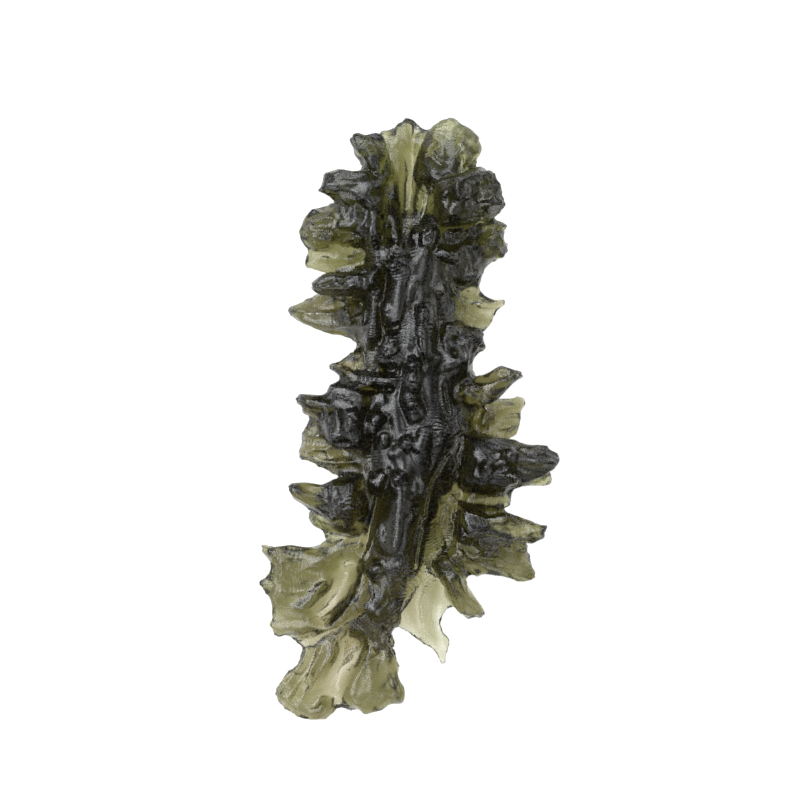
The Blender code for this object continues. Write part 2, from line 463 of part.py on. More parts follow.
def add_ridges(skin, group):
    """The skin with its ridges, top and underside, and the spikes that point down."""
    body = joined([skin])
    tree = BVHTree.FromBMesh(body)
    body.free()
    extras = [ridge(points, tree, True, group) for points in TOP_RIDGES]
    extras += [ridge(points, tree, False, group) for points in BOTTOM_RIDGES]
    extras += [rounded_bar(points, 0.0, group) for points in DOWN_SPIKES]
    return fused([skin] + extras, "ridged stone", group)


def wear_flat(mesh):
    """Rub the lowest tips down to one plane and stand the stone on it, at its true size."""
    lows = Vector(min(v.co[axis] for v in mesh.vertices) for axis in range(3))
    highs = Vector(max(v.co[axis] for v in mesh.vertices) for axis in range(3))
    lows.z += REST_WEAR
    size = Vector((STONE_WIDTH, STONE_LENGTH, STONE_THICKNESS))
    for vertex in mesh.vertices:
        spot = vertex.co
        vertex.co.x = ((spot.x - lows.x) / (highs.x - lows.x) - 0.5) * size.x
        vertex.co.y = ((spot.y - lows.y) / (highs.y - lows.y) - 0.5) * size.y
        vertex.co.z = max(0.0, (spot.z - lows.z) / (highs.z - lows.z)) * size.z


def thin_out(item):
    """Smooth the skin and keep only the triangles its shape needs."""
    smooth = item.modifiers.new("soften", "SMOOTH")
    smooth.factor = SMOOTH_FACTOR
    smooth.iterations = SMOOTH_ROUNDS
    mesh = finished_mesh(item)
    item.modifiers.clear()
    item.data = mesh
    faces = sum(len(face.vertices) - 2 for face in mesh.polygons)
    fewer = item.modifiers.new("fewer faces", "DECIMATE")
    fewer.ratio = TRIANGLES_KEPT / faces
    fewer.use_collapse_triangulate = True
    item.data = finished_mesh(item)
    item.modifiers.clear()


def main():
    clear_scene()
    helpers = collection("guides")
    stone_group = collection("moldavite")
    skin = fused(build_plates(helpers), "plain stone", helpers)
    stone = mesh_object("moldavite", add_ridges(skin, helpers), stone_group)
    thin_out(stone)
    wear_flat(stone.data)
    stone.data.materials.clear()
    stone.data.materials.append(glass())
    stone.data.name = "moldavite"
    for face in stone.data.polygons:
        face.use_smooth = False


main()
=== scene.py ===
# %% [markdown]
# # A spiky moldavite
# The object is one piece of natural olive-green glass.  Acid groundwater ate deep grooves into it, so
# thin fins stand all round a thick, nearly black spine.  This lesson grows the whole stone as one
# closed mesh, carves it, and gives it a glass that is pale where it is thin and dark where it is
# thick, because its colour comes from the light being absorbed on its way through.

# %% Load the fixed frame
import math

import bmesh
import bpy
import numpy as np
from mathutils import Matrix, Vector
from mathutils.bvhtree import BVHTree
from mathutils.kdtree import KDTree


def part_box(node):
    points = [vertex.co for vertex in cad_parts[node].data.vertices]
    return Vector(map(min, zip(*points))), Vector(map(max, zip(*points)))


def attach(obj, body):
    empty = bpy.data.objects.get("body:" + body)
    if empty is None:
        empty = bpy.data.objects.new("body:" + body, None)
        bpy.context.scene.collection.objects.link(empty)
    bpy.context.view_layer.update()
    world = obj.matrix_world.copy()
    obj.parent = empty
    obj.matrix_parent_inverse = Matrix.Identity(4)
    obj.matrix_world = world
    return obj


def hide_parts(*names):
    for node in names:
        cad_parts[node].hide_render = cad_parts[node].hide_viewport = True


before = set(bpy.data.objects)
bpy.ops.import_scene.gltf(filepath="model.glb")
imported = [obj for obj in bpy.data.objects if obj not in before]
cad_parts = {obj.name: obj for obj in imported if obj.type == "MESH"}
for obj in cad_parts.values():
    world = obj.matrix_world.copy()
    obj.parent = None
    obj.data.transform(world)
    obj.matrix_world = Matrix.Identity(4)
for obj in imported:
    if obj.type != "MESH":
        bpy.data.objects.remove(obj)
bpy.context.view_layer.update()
low_corner, high_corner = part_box("moldavite")
MM = 0.001                         # one millimetre in Blender's metres
print("CAD box", [round(float(side) / MM, 2) for side in (*low_corner, *high_corner)])

# %% [markdown]
# ## Camera
# The stone is looked at from straight above with a long lens, so its fins keep their true outlines.
# A short lens held close would lean them outward.  The height is worked out from the lens and from
# the width of table that the picture should show.

# %% Camera
TABLE_SHOWN = 56.0 * MM            # width of the picture, measured at the middle of the stone
LOOK_AT = (-0.63 * MM, 1.33 * MM, 5.0 * MM)
LENS = 200.0
SENSOR = 36.0
NEAREST_SEEN = 10.0 * MM
camera_data = bpy.data.cameras.new("camera")
camera_data.lens = LENS
camera_data.sensor_width = SENSOR
camera_data.clip_start = NEAREST_SEEN
camera = bpy.data.objects.new("camera", camera_data)
bpy.context.scene.collection.objects.link(camera)
camera.location = (LOOK_AT[0], LOOK_AT[1], LOOK_AT[2] + TABLE_SHOWN * LENS / SENSOR)
bpy.context.scene.camera = camera
print("camera height", round(camera.location.z / MM, 1), "mm")

# %% [markdown]
# ## Wiring nodes
# Each finish is a network of nodes.  These helpers add one node each and return its output, so that a
# finish can be read as one sum after another.  Linking sockets by hand each time would bury it.

# %% Helpers for nodes
def fed(tree, socket, value):
    """Feed a socket from another socket, or set it to a plain value."""
    if isinstance(value, bpy.types.NodeSocket):
        tree.links.new(value, socket)
    elif value is not None:
        socket.default_value = value


def maths(tree, operation, *values):
    node = tree.nodes.new("ShaderNodeMath")
    node.operation = operation
    for socket, value in zip(node.inputs, values):
        fed(tree, socket, value)
    return node.outputs["Value"]


RISING = (0.0, 1.0)
FALLING = (1.0, 0.0)


def ranged(tree, value, source, target, smooth=False):
    """Turn the source range of a value into the target range, cut off at both ends."""
    node = tree.nodes.new("ShaderNodeMapRange")
    node.interpolation_type = "SMOOTHSTEP" if smooth else "LINEAR"
    fed(tree, node.inputs["Value"], value)
    for title, number in zip(("From Min", "From Max", "To Min", "To Max"), (*source, *target)):
        node.inputs[title].default_value = number
    return node.outputs["Result"]


def blended(tree, share, first, second, kind="FLOAT"):
    node = tree.nodes.new("ShaderNodeMix")
    node.data_type = kind
    for title, value in (("Factor", share), ("A", first), ("B", second)):
        fed(tree, node.inputs[title], value)
    return node.outputs["Result"]


def coordinates(tree, output="Object"):
    return tree.nodes.new("ShaderNodeTexCoord").outputs[output]


def parts_of(tree, vector):
    split = tree.nodes.new("ShaderNodeSeparateXYZ")
    tree.links.new(vector, split.inputs["Vector"])
    return split.outputs


# %% [markdown]
# ## Table
# Clear glass only shows its colour when light comes through it.  A white table lit from above would
# lie in the stone's own shadow, so this pale table glows softly, as a light table does, and the glow
# fades away from the stone.

# %% Glowing table
TABLE_RADIUS = 1.6
TABLE_SIDES = 96
TABLE_GREY = (0.12, 0.12, 0.12, 1.0)
TABLE_ROUGHNESS = 0.9
GLOW_REACH = (0.04, 0.16)          # metres from the middle where the glow starts and ends its fade
GLOW = (0.95, 0.55)                # under the stone, and far from it
WHITE = (1.0, 1.0, 1.0, 1.0)


def table_finish():
    material = bpy.data.materials.new("pale table")
    material.use_nodes = True
    tree = material.node_tree
    shader = tree.nodes["Principled BSDF"]
    shader.inputs["Base Color"].default_value = TABLE_GREY
    shader.inputs["Roughness"].default_value = TABLE_ROUGHNESS
    shader.inputs["Specular IOR Level"].default_value = 0.0
    shader.inputs["Emission Color"].default_value = WHITE
    length = tree.nodes.new("ShaderNodeVectorMath")
    length.operation = "LENGTH"
    tree.links.new(coordinates(tree), length.inputs[0])
    glow = ranged(tree, length.outputs["Value"], GLOW_REACH, GLOW, True)
    tree.links.new(glow, shader.inputs["Emission Strength"])
    return material


bpy.ops.mesh.primitive_circle_add(vertices=TABLE_SIDES, radius=TABLE_RADIUS, fill_type="NGON")
table = bpy.context.object
table.name = "table"
table.data.materials.append(table_finish())
print("table", TABLE_RADIUS * 2, "m across")

# %% [markdown]
# ## Room and softboxes
# Etched glass gleams silver where its ridges mirror something bright.  Two softboxes give the broad
# gleams.  The room gives the rest: a bright ring part of the way up, dim at table height and
# overhead, and stronger on the left.  An evenly white room would wash the dark spine out to grey.

# %% Softboxes
SOFTBOXES = (
    # name, place, width, height, power in watts
    ("softbox over left", (-0.23, 0.17, 0.36), 0.24, 0.24, 0.7),
    ("softbox over right", (0.27, 0.06, 0.32), 0.14, 0.26, 0.25),
)


def softbox(name, place, width, height, power):
    light = bpy.data.lights.new(name, "AREA")
    light.shape = "RECTANGLE"
    light.size = width
    light.size_y = height
    light.energy = power
    lamp = bpy.data.objects.new(name, light)
    bpy.context.scene.collection.objects.link(lamp)
    lamp.location = place
    lamp.rotation_euler = (-Vector(place)).to_track_quat("-Z", "Y").to_euler()


for row in SOFTBOXES:
    softbox(*row)
print("softboxes", len(SOFTBOXES))

# %% Room with a bright ring
RING_STRENGTH = 2.9
HORIZON_GLOW = 0.05
ZENITH_GLOW = 0.16
RING = ((0.20, 0.05), (0.36, 1.0), (0.74, 1.0), (0.90, 0.20))   # share of the way up, share of the glow
LEFT_LEAN = (-0.80, 0.55, 0.0)
BACKDROP_GLOW = 0.72               # how the room itself looks behind the table
ROOM_TINT = (0.95, 0.97, 1.0, 1.0)


def ring_glow(tree, height):
    ring = tree.nodes.new("ShaderNodeFloatCurve")
    curve = ring.mapping.curves[0]
    curve.points[0].location = (0.0, HORIZON_GLOW)
    curve.points[1].location = (1.0, ZENITH_GLOW)
    for place, glow in RING:
        curve.points.new(place, glow)
    ring.mapping.update()
    tree.links.new(height, ring.inputs["Value"])
    return ring.outputs["Value"]


def left_bias(tree, place):
    lean = tree.nodes.new("ShaderNodeVectorMath")
    lean.operation = "DOT_PRODUCT"
    lean.inputs[1].default_value = LEFT_LEAN
    tree.links.new(place, lean.inputs[0])
    return maths(tree, "MULTIPLY_ADD", lean.outputs["Value"], RING_STRENGTH, RING_STRENGTH)


def white_room():
    world = bpy.data.worlds.new("room")
    world.use_nodes = True
    tree = world.node_tree
    place = coordinates(tree, "Generated")
    glow = maths(tree, "MULTIPLY", ring_glow(tree, parts_of(tree, place)["Z"]), left_bias(tree, place))
    looked_at = tree.nodes.new("ShaderNodeLightPath").outputs["Is Camera Ray"]
    background = tree.nodes["Background"]
    background.inputs["Color"].default_value = ROOM_TINT
    tree.links.new(blended(tree, looked_at, glow, BACKDROP_GLOW), background.inputs["Strength"])
    return world


bpy.context.scene.world = white_room()
print("ring strength", RING_STRENGTH)

# %% [markdown]
# ## Light paths and view
# Light crosses many skins of glass on its way out, so it is allowed enough bounces for that.  Lone
# bright sparks would pepper the dark spine, so stray glints are held down.

# %% Light paths and view
LIGHT_BOUNCES = 9                  # enough to pass through a fin, the spine and out again
NOISE_LIMIT = 0.03
STRAY_GLINT_LIMIT = 1.0            # keeps lone bright sparks out of the dark glass
scene = bpy.context.scene
scene.view_settings.view_transform = "Standard"
scene.cycles.max_bounces = LIGHT_BOUNCES
scene.cycles.transmission_bounces = LIGHT_BOUNCES
scene.cycles.adaptive_threshold = NOISE_LIMIT
scene.cycles.sample_clamp_indirect = STRAY_GLINT_LIMIT
print("light bounces", LIGHT_BOUNCES)

# %% [markdown]
# ## The shape of the stone
# Each fin is drawn as an outline seen from above, in millimetres, then filled, thickened and given
# its height: thick where it leaves the spine, thin at the rim, rising or falling on its way out.
# Pushing boxes about would give straight fins; sculpting by hand could not be repeated.  Outlines
# with a thickness rule give both the true rims and the wedge-shaped sections of the real thing.

# %% Spine
SPINE_HALF_THICKNESS = 3.6
SPINE_MID_HEIGHT = 5.2
SPINE_ROUNDING = 4.2
SPINE_SWELL_POWER = 1.6
SPINE_NARROWING = ((-14.2, 0.6), (-9.0, 1.0), (-6.0, 1.0), (11.0, 1.0), (16.8, 0.6))
SPINE_OUTLINE = (
    (0.6, 17.2), (2.6, 17.4), (3.8, 15.0), (4.2, 11.0), (4.0, 8.0), (4.5, 5.2), (4.9, 2.2), (5.4, -1.0),
    (5.2, -3.0), (4.2, -4.4), (3.0, -5.6), (2.5, -7.0), (2.1, -8.6), (1.3, -10.4), (0.5, -12.2),
    (-0.6, -13.6), (-2.0, -14.2), (-3.3, -13.0), (-3.3, -10.0), (-3.2, -8.0), (-3.5, -6.0), (-4.3, -3.0),
    (-4.7, 1.0), (-3.7, 4.0), (-3.4, 7.0), (-3.6, 10.0), (-3.5, 12.6), (-2.4, 13.8), (-1.0, 14.0),
    (0.2, 14.6),
)
print("spine outline", len(SPINE_OUTLINE), "points")

# %% Fins of the crown
# name, height at root, height at tip, thickness at root, thickness at tip, slope across, outline
CROWN_FINS = (
    ("horn", 6.0, 7.2, 3.6, 2.3, 0.1, (
        (-2.4, 16.4), (-3.1, 17.25), (-3.2, 17.6), (-3.3, 17.95), (-3.75, 18.3), (-4.0, 18.9),
        (-4.03, 19.5), (-3.85, 19.75), (-3.5, 19.9), (-3.1, 19.75), (-2.6, 19.75), (-2.2, 19.9),
        (-1.7, 19.7), (-1.5, 19.2), (-1.25, 18.3), (-1.0, 16.6))),
    ("crown peak", 4.8, 3.8, 4.0, 1.0, 0.0, (
        (-2.4, 11.8), (-2.6, 16.6), (-2.5, 18.6), (-2.2, 19.9), (-1.9, 20.25), (-1.4, 20.25), (-1.05, 20.5),
        (-0.85, 20.75), (-0.4, 20.95), (-0.15, 21.25), (0.1, 21.05), (0.7, 20.6), (0.85, 20.3),
        (1.35, 20.15), (1.7, 19.8), (2.2, 17.6), (1.2, 15.6), (0.8, 11.8))),
    ("round top fin", 5.2, 4.0, 3.0, 1.3, 0.15, (
        (0.6, 16.6), (1.2, 19.4), (1.7, 20.5), (2.2, 20.95), (2.6, 21.0), (3.0, 21.05), (3.4, 20.9),
        (3.5, 20.5), (4.0, 20.45), (4.4, 20.15), (4.9, 19.65), (5.2, 19.2), (5.25, 18.85),
        (5.0, 18.5), (4.95, 18.0), (4.6, 17.3), (2.6, 15.4))),
)
print("fins of the crown", len(CROWN_FINS))

# %% Fins on the upper right
UPPER_RIGHT_FINS = (
    ("upper right block", 6.3, 6.4, 5.4, 4.2, -0.12, (
        (1.8, 16.4), (3.6, 17.0), (4.9, 17.5), (5.5, 17.45), (5.95, 17.2), (6.2, 16.8), (6.55, 16.4),
        (6.7, 16.1), (6.6, 15.8), (6.65, 15.4), (6.9, 15.0), (6.85, 14.65), (6.45, 14.4),
        (6.4, 14.0), (4.4, 13.4), (2.0, 13.2))),
    ("upper right barbs", 4.8, 4.0, 4.8, 2.0, 0.0, (
        (2.0, 13.8), (6.3, 14.1), (6.8, 13.8), (7.15, 13.6), (6.75, 13.4), (6.6, 13.1), (6.6, 12.75),
        (6.75, 12.5), (7.3, 12.35), (7.1, 12.0), (7.0, 11.6), (6.7, 11.2), (6.0, 10.9), (5.6, 10.5),
        (5.35, 9.7), (5.1, 9.4), (4.4, 9.2), (2.0, 9.2))),
    ("right fan spike", 4.8, 3.6, 2.8, 1.0, -0.15, (
        (1.8, 9.6), (4.4, 9.55), (5.1, 9.05), (5.5, 8.75), (6.1, 8.55), (6.95, 8.45), (6.9, 7.95),
        (6.5, 7.8), (6.25, 7.45), (6.05, 6.95), (5.9, 6.4), (5.5, 6.2), (3.6, 5.8), (1.8, 6.2))),
    ("right dark bulge", 5.6, 5.8, 5.2, 3.8, 0.0, (
        (1.6, 6.6), (4.6, 6.5), (5.55, 6.1), (5.5, 5.3), (5.55, 4.9), (5.1, 4.8), (4.85, 4.5),
        (4.7, 3.9), (4.5, 3.25), (3.6, 2.6), (1.6, 2.6))),
    ("right beak", 5.4, 7.2, 4.0, 2.2, 0.1, (
        (3.0, 3.6), (4.6, 3.1), (5.0, 3.1), (5.5, 3.3), (5.9, 3.55), (6.3, 3.85), (6.6, 3.8),
        (6.9, 3.6), (7.5, 3.45), (7.95, 3.35), (8.05, 3.0), (7.6, 2.85), (7.3, 2.6), (7.0, 2.25),
        (6.6, 1.8), (5.6, 1.0), (3.0, 1.2))),
    ("right pale fin", 4.6, 3.0, 3.0, 1.9, 0.1, (
        (3.4, 1.8), (6.4, 1.75), (7.1, 1.7), (7.9, 1.95), (8.05, 1.6), (8.35, 1.2), (8.1, 0.9),
        (7.95, 0.4), (7.95, 0.0), (8.1, -0.45), (7.9, -0.75), (7.7, -1.2), (6.0, -1.8),
        (3.4, -1.8))),
)
print("fins on the upper right", len(UPPER_RIGHT_FINS))

# %% Fins on the lower right
LOWER_RIGHT_FINS = (
    ("right paddle", 6.0, 7.0, 5.2, 3.8, 0.1, (
        (3.6, -0.8), (7.4, -1.3), (8.3, -1.45), (9.1, -1.4), (9.8, -1.5), (10.0, -2.0), (10.3, -2.3),
        (10.5, -2.65), (10.3, -3.1), (10.1, -3.4), (9.4, -3.8), (8.0, -4.5), (6.4, -5.0),
        (3.6, -4.6))),
    ("paddle lip", 4.8, 4.0, 3.6, 1.3, 0.0, (
        (3.8, -2.6), (8.8, -3.0), (9.95, -3.4), (10.0, -4.3), (9.7, -4.5), (9.0, -4.6), (8.1, -4.7),
        (7.5, -4.95), (7.1, -5.1), (7.3, -5.85), (7.0, -6.0), (5.6, -6.4), (3.8, -5.8))),
    ("right lower spike", 5.6, 6.4, 3.0, 1.4, 0.12, (
        (3.4, -5.6), (6.4, -5.8), (7.5, -6.3), (8.3, -6.65), (9.0, -7.0), (9.5, -7.1), (9.9, -7.25),
        (9.65, -7.6), (9.5, -8.0), (9.3, -8.15), (8.9, -8.2), (8.5, -8.5), (6.6, -8.6),
        (3.4, -8.4))),
    ("right lower fin", 4.4, 3.2, 3.8, 2.3, -0.08, (
        (3.4, -7.0), (7.2, -7.6), (8.6, -8.4), (8.5, -8.9), (8.5, -9.4), (8.65, -9.9), (8.85, -10.4),
        (8.9, -11.0), (8.7, -11.3), (8.3, -11.4), (7.8, -11.35), (7.2, -11.1), (6.3, -10.85),
        (5.2, -10.6), (4.95, -10.7), (4.7, -10.95), (4.5, -10.6), (4.0, -10.45), (2.4, -10.0))),
    ("right lower web", 4.6, 4.0, 2.0, 1.6, 0.0, (
        (0.4, -3.8), (4.6, -3.8), (5.2, -5.6), (4.9, -9.0), (4.2, -10.4), (2.8, -10.9),
        (1.4, -10.9), (0.2, -8.6))),
    ("lower right finger", 4.6, 4.0, 3.8, 2.2, 0.0, (
        (3.4, -8.6), (4.0, -10.7), (4.15, -11.1), (4.35, -11.6), (4.6, -12.05), (5.0, -12.5),
        (5.2, -12.9), (5.4, -13.3), (5.5, -13.6), (4.9, -13.7), (4.2, -13.9), (3.7, -13.5),
        (3.4, -13.3), (2.4, -11.4), (1.4, -9.6))),
    ("lower right petal", 4.4, 2.8, 0.95, 0.45, 0.08, (
        (2.6, -9.4), (3.5, -11.6), (3.4, -13.1), (2.9, -13.05), (2.5, -13.25), (2.38, -13.65),
        (2.38, -14.4), (2.6, -14.8), (2.95, -15.1), (3.0, -15.5), (2.8, -16.0), (2.66, -16.5),
        (2.6, -17.2), (2.24, -17.0), (2.0, -16.5), (1.7, -16.0), (1.1, -15.7), (0.42, -15.1),
        (-0.14, -14.6), (-0.6, -14.35), (-1.6, -14.0), (-1.6, -11.0))),
)
print("fins on the lower right", len(LOWER_RIGHT_FINS))

# %% Tail and flange
TAIL_FINS = (
    ("tail fan", 4.4, 3.2, 2.0, 1.7, 0.04, (
        (0.0, -11.6), (-0.9, -14.4), (-1.2, -14.8), (-1.15, -15.3), (-0.9, -15.8), (-0.65, -16.2),
        (-0.5, -17.0), (-0.4, -17.6), (-0.2, -18.1), (0.0, -18.5), (0.1, -19.2), (-0.4, -19.65),
        (-1.2, -19.65), (-1.6, -20.1), (-2.3, -20.3), (-2.9, -20.55), (-3.5, -20.4), (-4.2, -20.25),
        (-4.4, -19.85), (-4.8, -19.9), (-5.0, -20.1), (-5.3, -20.6), (-5.5, -20.95), (-6.6, -21.0),
        (-7.3, -20.85), (-7.9, -20.75), (-8.1, -20.4), (-8.5, -20.0), (-8.9, -19.6), (-9.4, -19.2),
        (-9.45, -18.9), (-9.15, -18.5), (-9.1, -17.9), (-8.9, -17.7), (-8.4, -17.4), (-8.0, -17.05),
        (-7.7, -16.7), (-7.35, -16.2), (-7.2, -15.7), (-5.6, -14.7), (-3.4, -12.4))),
    ("lower left flange", 4.8, 3.8, 2.5, 2.1, 0.05, (
        (-1.8, -13.0), (-6.2, -15.2), (-7.5, -15.5), (-7.9, -15.2), (-8.4, -15.1), (-8.9, -15.2),
        (-9.3, -14.9), (-9.6, -14.5), (-9.9, -14.1), (-9.6, -13.8), (-9.5, -13.3), (-9.55, -12.6),
        (-9.7, -12.1), (-10.1, -11.7), (-10.3, -11.45), (-10.5, -11.25), (-10.0, -11.0),
        (-9.7, -10.8), (-9.5, -10.45), (-9.45, -10.1), (-9.6, -9.75), (-9.9, -9.4), (-10.2, -9.1),
        (-10.35, -8.65), (-10.1, -8.5), (-9.6, -8.5), (-8.6, -8.4), (-7.3, -8.5), (-6.2, -8.4),
        (-5.6, -8.1), (-1.6, -7.8))),
)
print("tail and flange", len(TAIL_FINS))

# %% Fins on the left
LEFT_FINS = (
    ("left lower spike", 5.6, 7.0, 2.6, 2.8, -0.1, (
        (-2.6, -6.6), (-5.2, -7.0), (-6.4, -6.4), (-7.0, -6.0), (-7.3, -5.8), (-7.8, -5.4),
        (-8.05, -5.05), (-8.2, -4.8), (-8.25, -4.3), (-7.9, -4.2), (-7.0, -4.2), (-6.3, -4.25),
        (-5.8, -4.2), (-5.1, -3.9), (-2.6, -3.6))),
    ("left lower flap", 4.8, 4.2, 2.3, 1.5, 0.1, (
        (-2.6, -8.6), (-5.65, -8.15), (-5.9, -7.9), (-6.2, -7.8), (-6.5, -7.55), (-6.7, -7.45),
        (-6.85, -6.9), (-7.0, -6.5), (-7.0, -5.9), (-6.0, -5.0), (-2.6, -4.6))),
    ("left upper block", 6.4, 7.0, 5.0, 3.4, 0.0, (
        (-2.4, -2.2), (-4.6, -2.0), (-5.6, -1.4), (-6.0, 0.0), (-7.2, 0.5), (-7.5, 1.0), (-7.75, 1.6),
        (-7.5, 1.9), (-6.5, 1.85), (-5.45, 1.8), (-5.4, 2.75), (-4.9, 2.65), (-4.4, 2.9),
        (-2.4, 2.6))),
    ("left lower block", 4.8, 4.0, 3.6, 2.4, 0.05, (
        (-2.4, -4.2), (-5.0, -3.75), (-5.3, -3.6), (-5.8, -3.5), (-6.4, -3.25), (-7.0, -2.95),
        (-7.6, -2.65), (-7.8, -2.35), (-7.4, -2.1), (-7.35, -1.5), (-7.45, -0.9), (-7.4, -0.55),
        (-7.05, -0.25), (-7.05, 0.3), (-6.6, 1.0), (-2.4, 1.2))),
    ("left small beak", 5.6, 5.6, 3.4, 1.6, 0.0, (
        (-1.6, 2.8), (-4.5, 2.9), (-4.9, 3.25), (-5.2, 3.45), (-5.6, 3.6), (-5.55, 3.85),
        (-5.2, 4.05), (-4.6, 4.4), (-4.2, 4.75), (-3.8, 5.0), (-1.6, 5.4))),
    ("left broad fin", 5.0, 3.4, 4.8, 2.6, 0.06, (
        (-1.6, 4.8), (-3.85, 5.4), (-4.0, 5.6), (-5.0, 5.9), (-6.0, 6.05), (-6.8, 6.4), (-7.4, 6.7),
        (-7.75, 6.85), (-8.1, 7.2), (-8.35, 7.45), (-8.2, 7.85), (-7.9, 8.05), (-7.4, 8.3),
        (-7.0, 8.6), (-6.4, 9.0), (-1.6, 9.4))),
    ("left dark spike", 6.4, 7.2, 4.4, 3.0, 0.0, (
        (-1.6, 8.6), (-4.2, 8.5), (-6.0, 8.6), (-6.6, 9.0), (-6.95, 9.4), (-6.5, 9.55),
        (-6.2, 9.8), (-5.6, 10.15), (-1.6, 10.8))),
    ("left pale paddle", 4.8, 4.2, 3.0, 1.5, 0.0, (
        (-1.8, 9.6), (-5.2, 9.9), (-6.0, 10.05), (-6.6, 10.25), (-7.2, 10.6), (-7.15, 10.9),
        (-7.0, 11.3), (-6.9, 11.9), (-5.2, 12.2), (-1.8, 12.4))),
    ("left upper fan", 5.6, 5.2, 4.2, 2.9, 0.1, (
        (-1.4, 11.8), (-6.2, 11.85), (-6.9, 11.9), (-7.2, 12.1), (-7.6, 12.4), (-7.5, 13.0),
        (-7.2, 13.5), (-7.15, 13.9), (-6.8, 14.35), (-6.5, 14.7), (-6.0, 14.7), (-5.3, 14.9),
        (-1.4, 15.2))),
    ("left upper knob", 6.4, 6.6, 5.2, 3.6, 0.0, (
        (-1.4, 13.8), (-4.6, 14.5), (-5.2, 15.15), (-5.6, 15.4), (-6.1, 15.6), (-6.5, 15.9),
        (-6.0, 16.2), (-5.8, 16.7), (-5.85, 17.1), (-5.4, 17.05), (-5.1, 17.15), (-4.7, 17.4),
        (-4.2, 17.5), (-3.7, 17.3), (-3.15, 17.3), (-1.4, 16.6))),
)
print("fins on the left", len(LEFT_FINS))

# %% Fins below
FINS = CROWN_FINS + UPPER_RIGHT_FINS + LOWER_RIGHT_FINS + TAIL_FINS + LEFT_FINS
# A lower row, out of sight from above: fin copied, size share, root height, tip height, thickness.
LOWER_FINS = (
    ("round top fin", 0.8, 3.4, 1.2, 2.6), ("upper right barbs", 0.82, 2.6, 0.9, 2.4),
    ("right dark bulge", 0.85, 3.0, 1.4, 2.6), ("right paddle", 0.62, 3.0, 0.7, 2.6),
    ("right lower spike", 0.66, 2.8, 0.8, 2.4), ("lower right finger", 0.62, 2.8, 1.2, 2.2),
    ("tail fan", 0.52, 2.6, 1.0, 2.4), ("left lower spike", 0.7, 3.2, 0.9, 1.5),
    ("left upper block", 0.8, 3.0, 0.9, 2.6), ("left dark spike", 0.8, 3.0, 0.8, 2.4),
    ("left upper knob", 0.78, 3.0, 1.0, 2.6),
)
LOWER_TIP = 0.9
print("fins", len(FINS), "and", len(LOWER_FINS), "below")

# %% [markdown]
# ## From outline to fin
# A filled curve gives a flat plate.  A voxel remesh covers it with evenly spaced points, and those
# points are then moved up or down by rule.  Numpy moves all the points of a fin at once.

# %% Helpers for meshes
def shown(name, data):
    item = bpy.data.objects.new(name, data)
    bpy.context.scene.collection.objects.link(item)
    return item


def thrown_away(item):
    """The finished mesh of a helper object, which is then deleted."""
    bpy.context.view_layer.update()
    graph = bpy.context.evaluated_depsgraph_get()
    mesh = bpy.data.meshes.new_from_object(item.evaluated_get(graph), depsgraph=graph)
    bpy.data.objects.remove(item)
    return mesh


def modified(mesh, kind, **settings):
    item = shown("helper", mesh)
    modifier = item.modifiers.new("helper", kind)
    for title, value in settings.items():
        setattr(modifier, title, value)
    return thrown_away(item)


def remeshed(mesh, voxel):
    return modified(mesh, "REMESH", mode="VOXEL", voxel_size=voxel * MM)


def points_of(mesh):
    spots = np.empty(len(mesh.vertices) * 3, dtype=np.float32)
    mesh.vertices.foreach_get("co", spots)
    return spots.reshape(-1, 3).astype(np.float64) / MM


def put_points(mesh, spots):
    mesh.vertices.foreach_set("co", (spots * MM).astype(np.float32).ravel())
    mesh.update()


# %% A flat plate
PLATE_VOXEL = 0.22


def flat_plate(outline):
    """A slab one millimetre thick to each side of the table plane, with evenly spaced points."""
    curve = bpy.data.curves.new("plate", "CURVE")
    curve.dimensions = "2D"
    curve.fill_mode = "BOTH"
    curve.extrude = MM
    spline = curve.splines.new("POLY")
    spline.points.add(len(outline) - 1)
    for point, (x, y) in zip(spline.points, outline):
        point.co = (x * MM, y * MM, 0.0, 1.0)
    spline.use_cyclic_u = True
    return remeshed(thrown_away(shown("plate", curve)), PLATE_VOXEL)


# %% Noise and ribs
NOISE_GRID = 64
RIB_WIDTH = 0.95
RIB_LENGTH = 4.2
RIB_SHIFT = (9.3, 5.1)             # keeps the coarse ribs clear of the fine ones' pattern
FINE_RIBS = (2.3, 2.0)             # fine ribs to a coarse one, across and along
FINE_SEED_STEP = 50
COARSE_SHARE = 0.65
FINE_SHARE = 0.35


def wobble(across, along, seed):
    """Smooth noise from -1 to 1 over a plane, for whole arrays at once."""
    grid = np.random.RandomState(seed).uniform(-1.0, 1.0, (NOISE_GRID, NOISE_GRID))
    col, row = np.floor(across).astype(int), np.floor(along).astype(int)
    u, v = across - col, along - row
    u, v = u * u * (3 - 2 * u), v * v * (3 - 2 * v)
    left, right = col % NOISE_GRID, (col + 1) % NOISE_GRID
    here, next_row = row % NOISE_GRID, (row + 1) % NOISE_GRID
    near = grid[left, here] * (1 - u) + grid[right, here] * u
    far = grid[left, next_row] * (1 - u) + grid[right, next_row] * u
    return near * (1 - v) + far * v


def ribs(across, along, seed):
    """Sharp-crested ribs that run out along a fin, finer ones upon coarse ones."""
    across, along = across / RIB_WIDTH, along / RIB_LENGTH
    coarse = 1.0 - 2.0 * np.abs(wobble(across + RIB_SHIFT[0], along + RIB_SHIFT[1], seed))
    fine_seed = seed + FINE_SEED_STEP
    fine = 1.0 - 2.0 * np.abs(wobble(across * FINE_RIBS[0], along * FINE_RIBS[1], fine_seed))
    return COARSE_SHARE * coarse + FINE_SHARE * fine


# %% Distances in plan
VERY_FAR = 1e9


def from_piece(spots, start, end):
    """The way from a straight piece of line to each spot, and the share of the piece passed there."""
    run = end - start
    share = np.clip(((spots - start) @ run) / (run @ run), 0.0, 1.0)
    return spots - start - share[:, None] * run, share


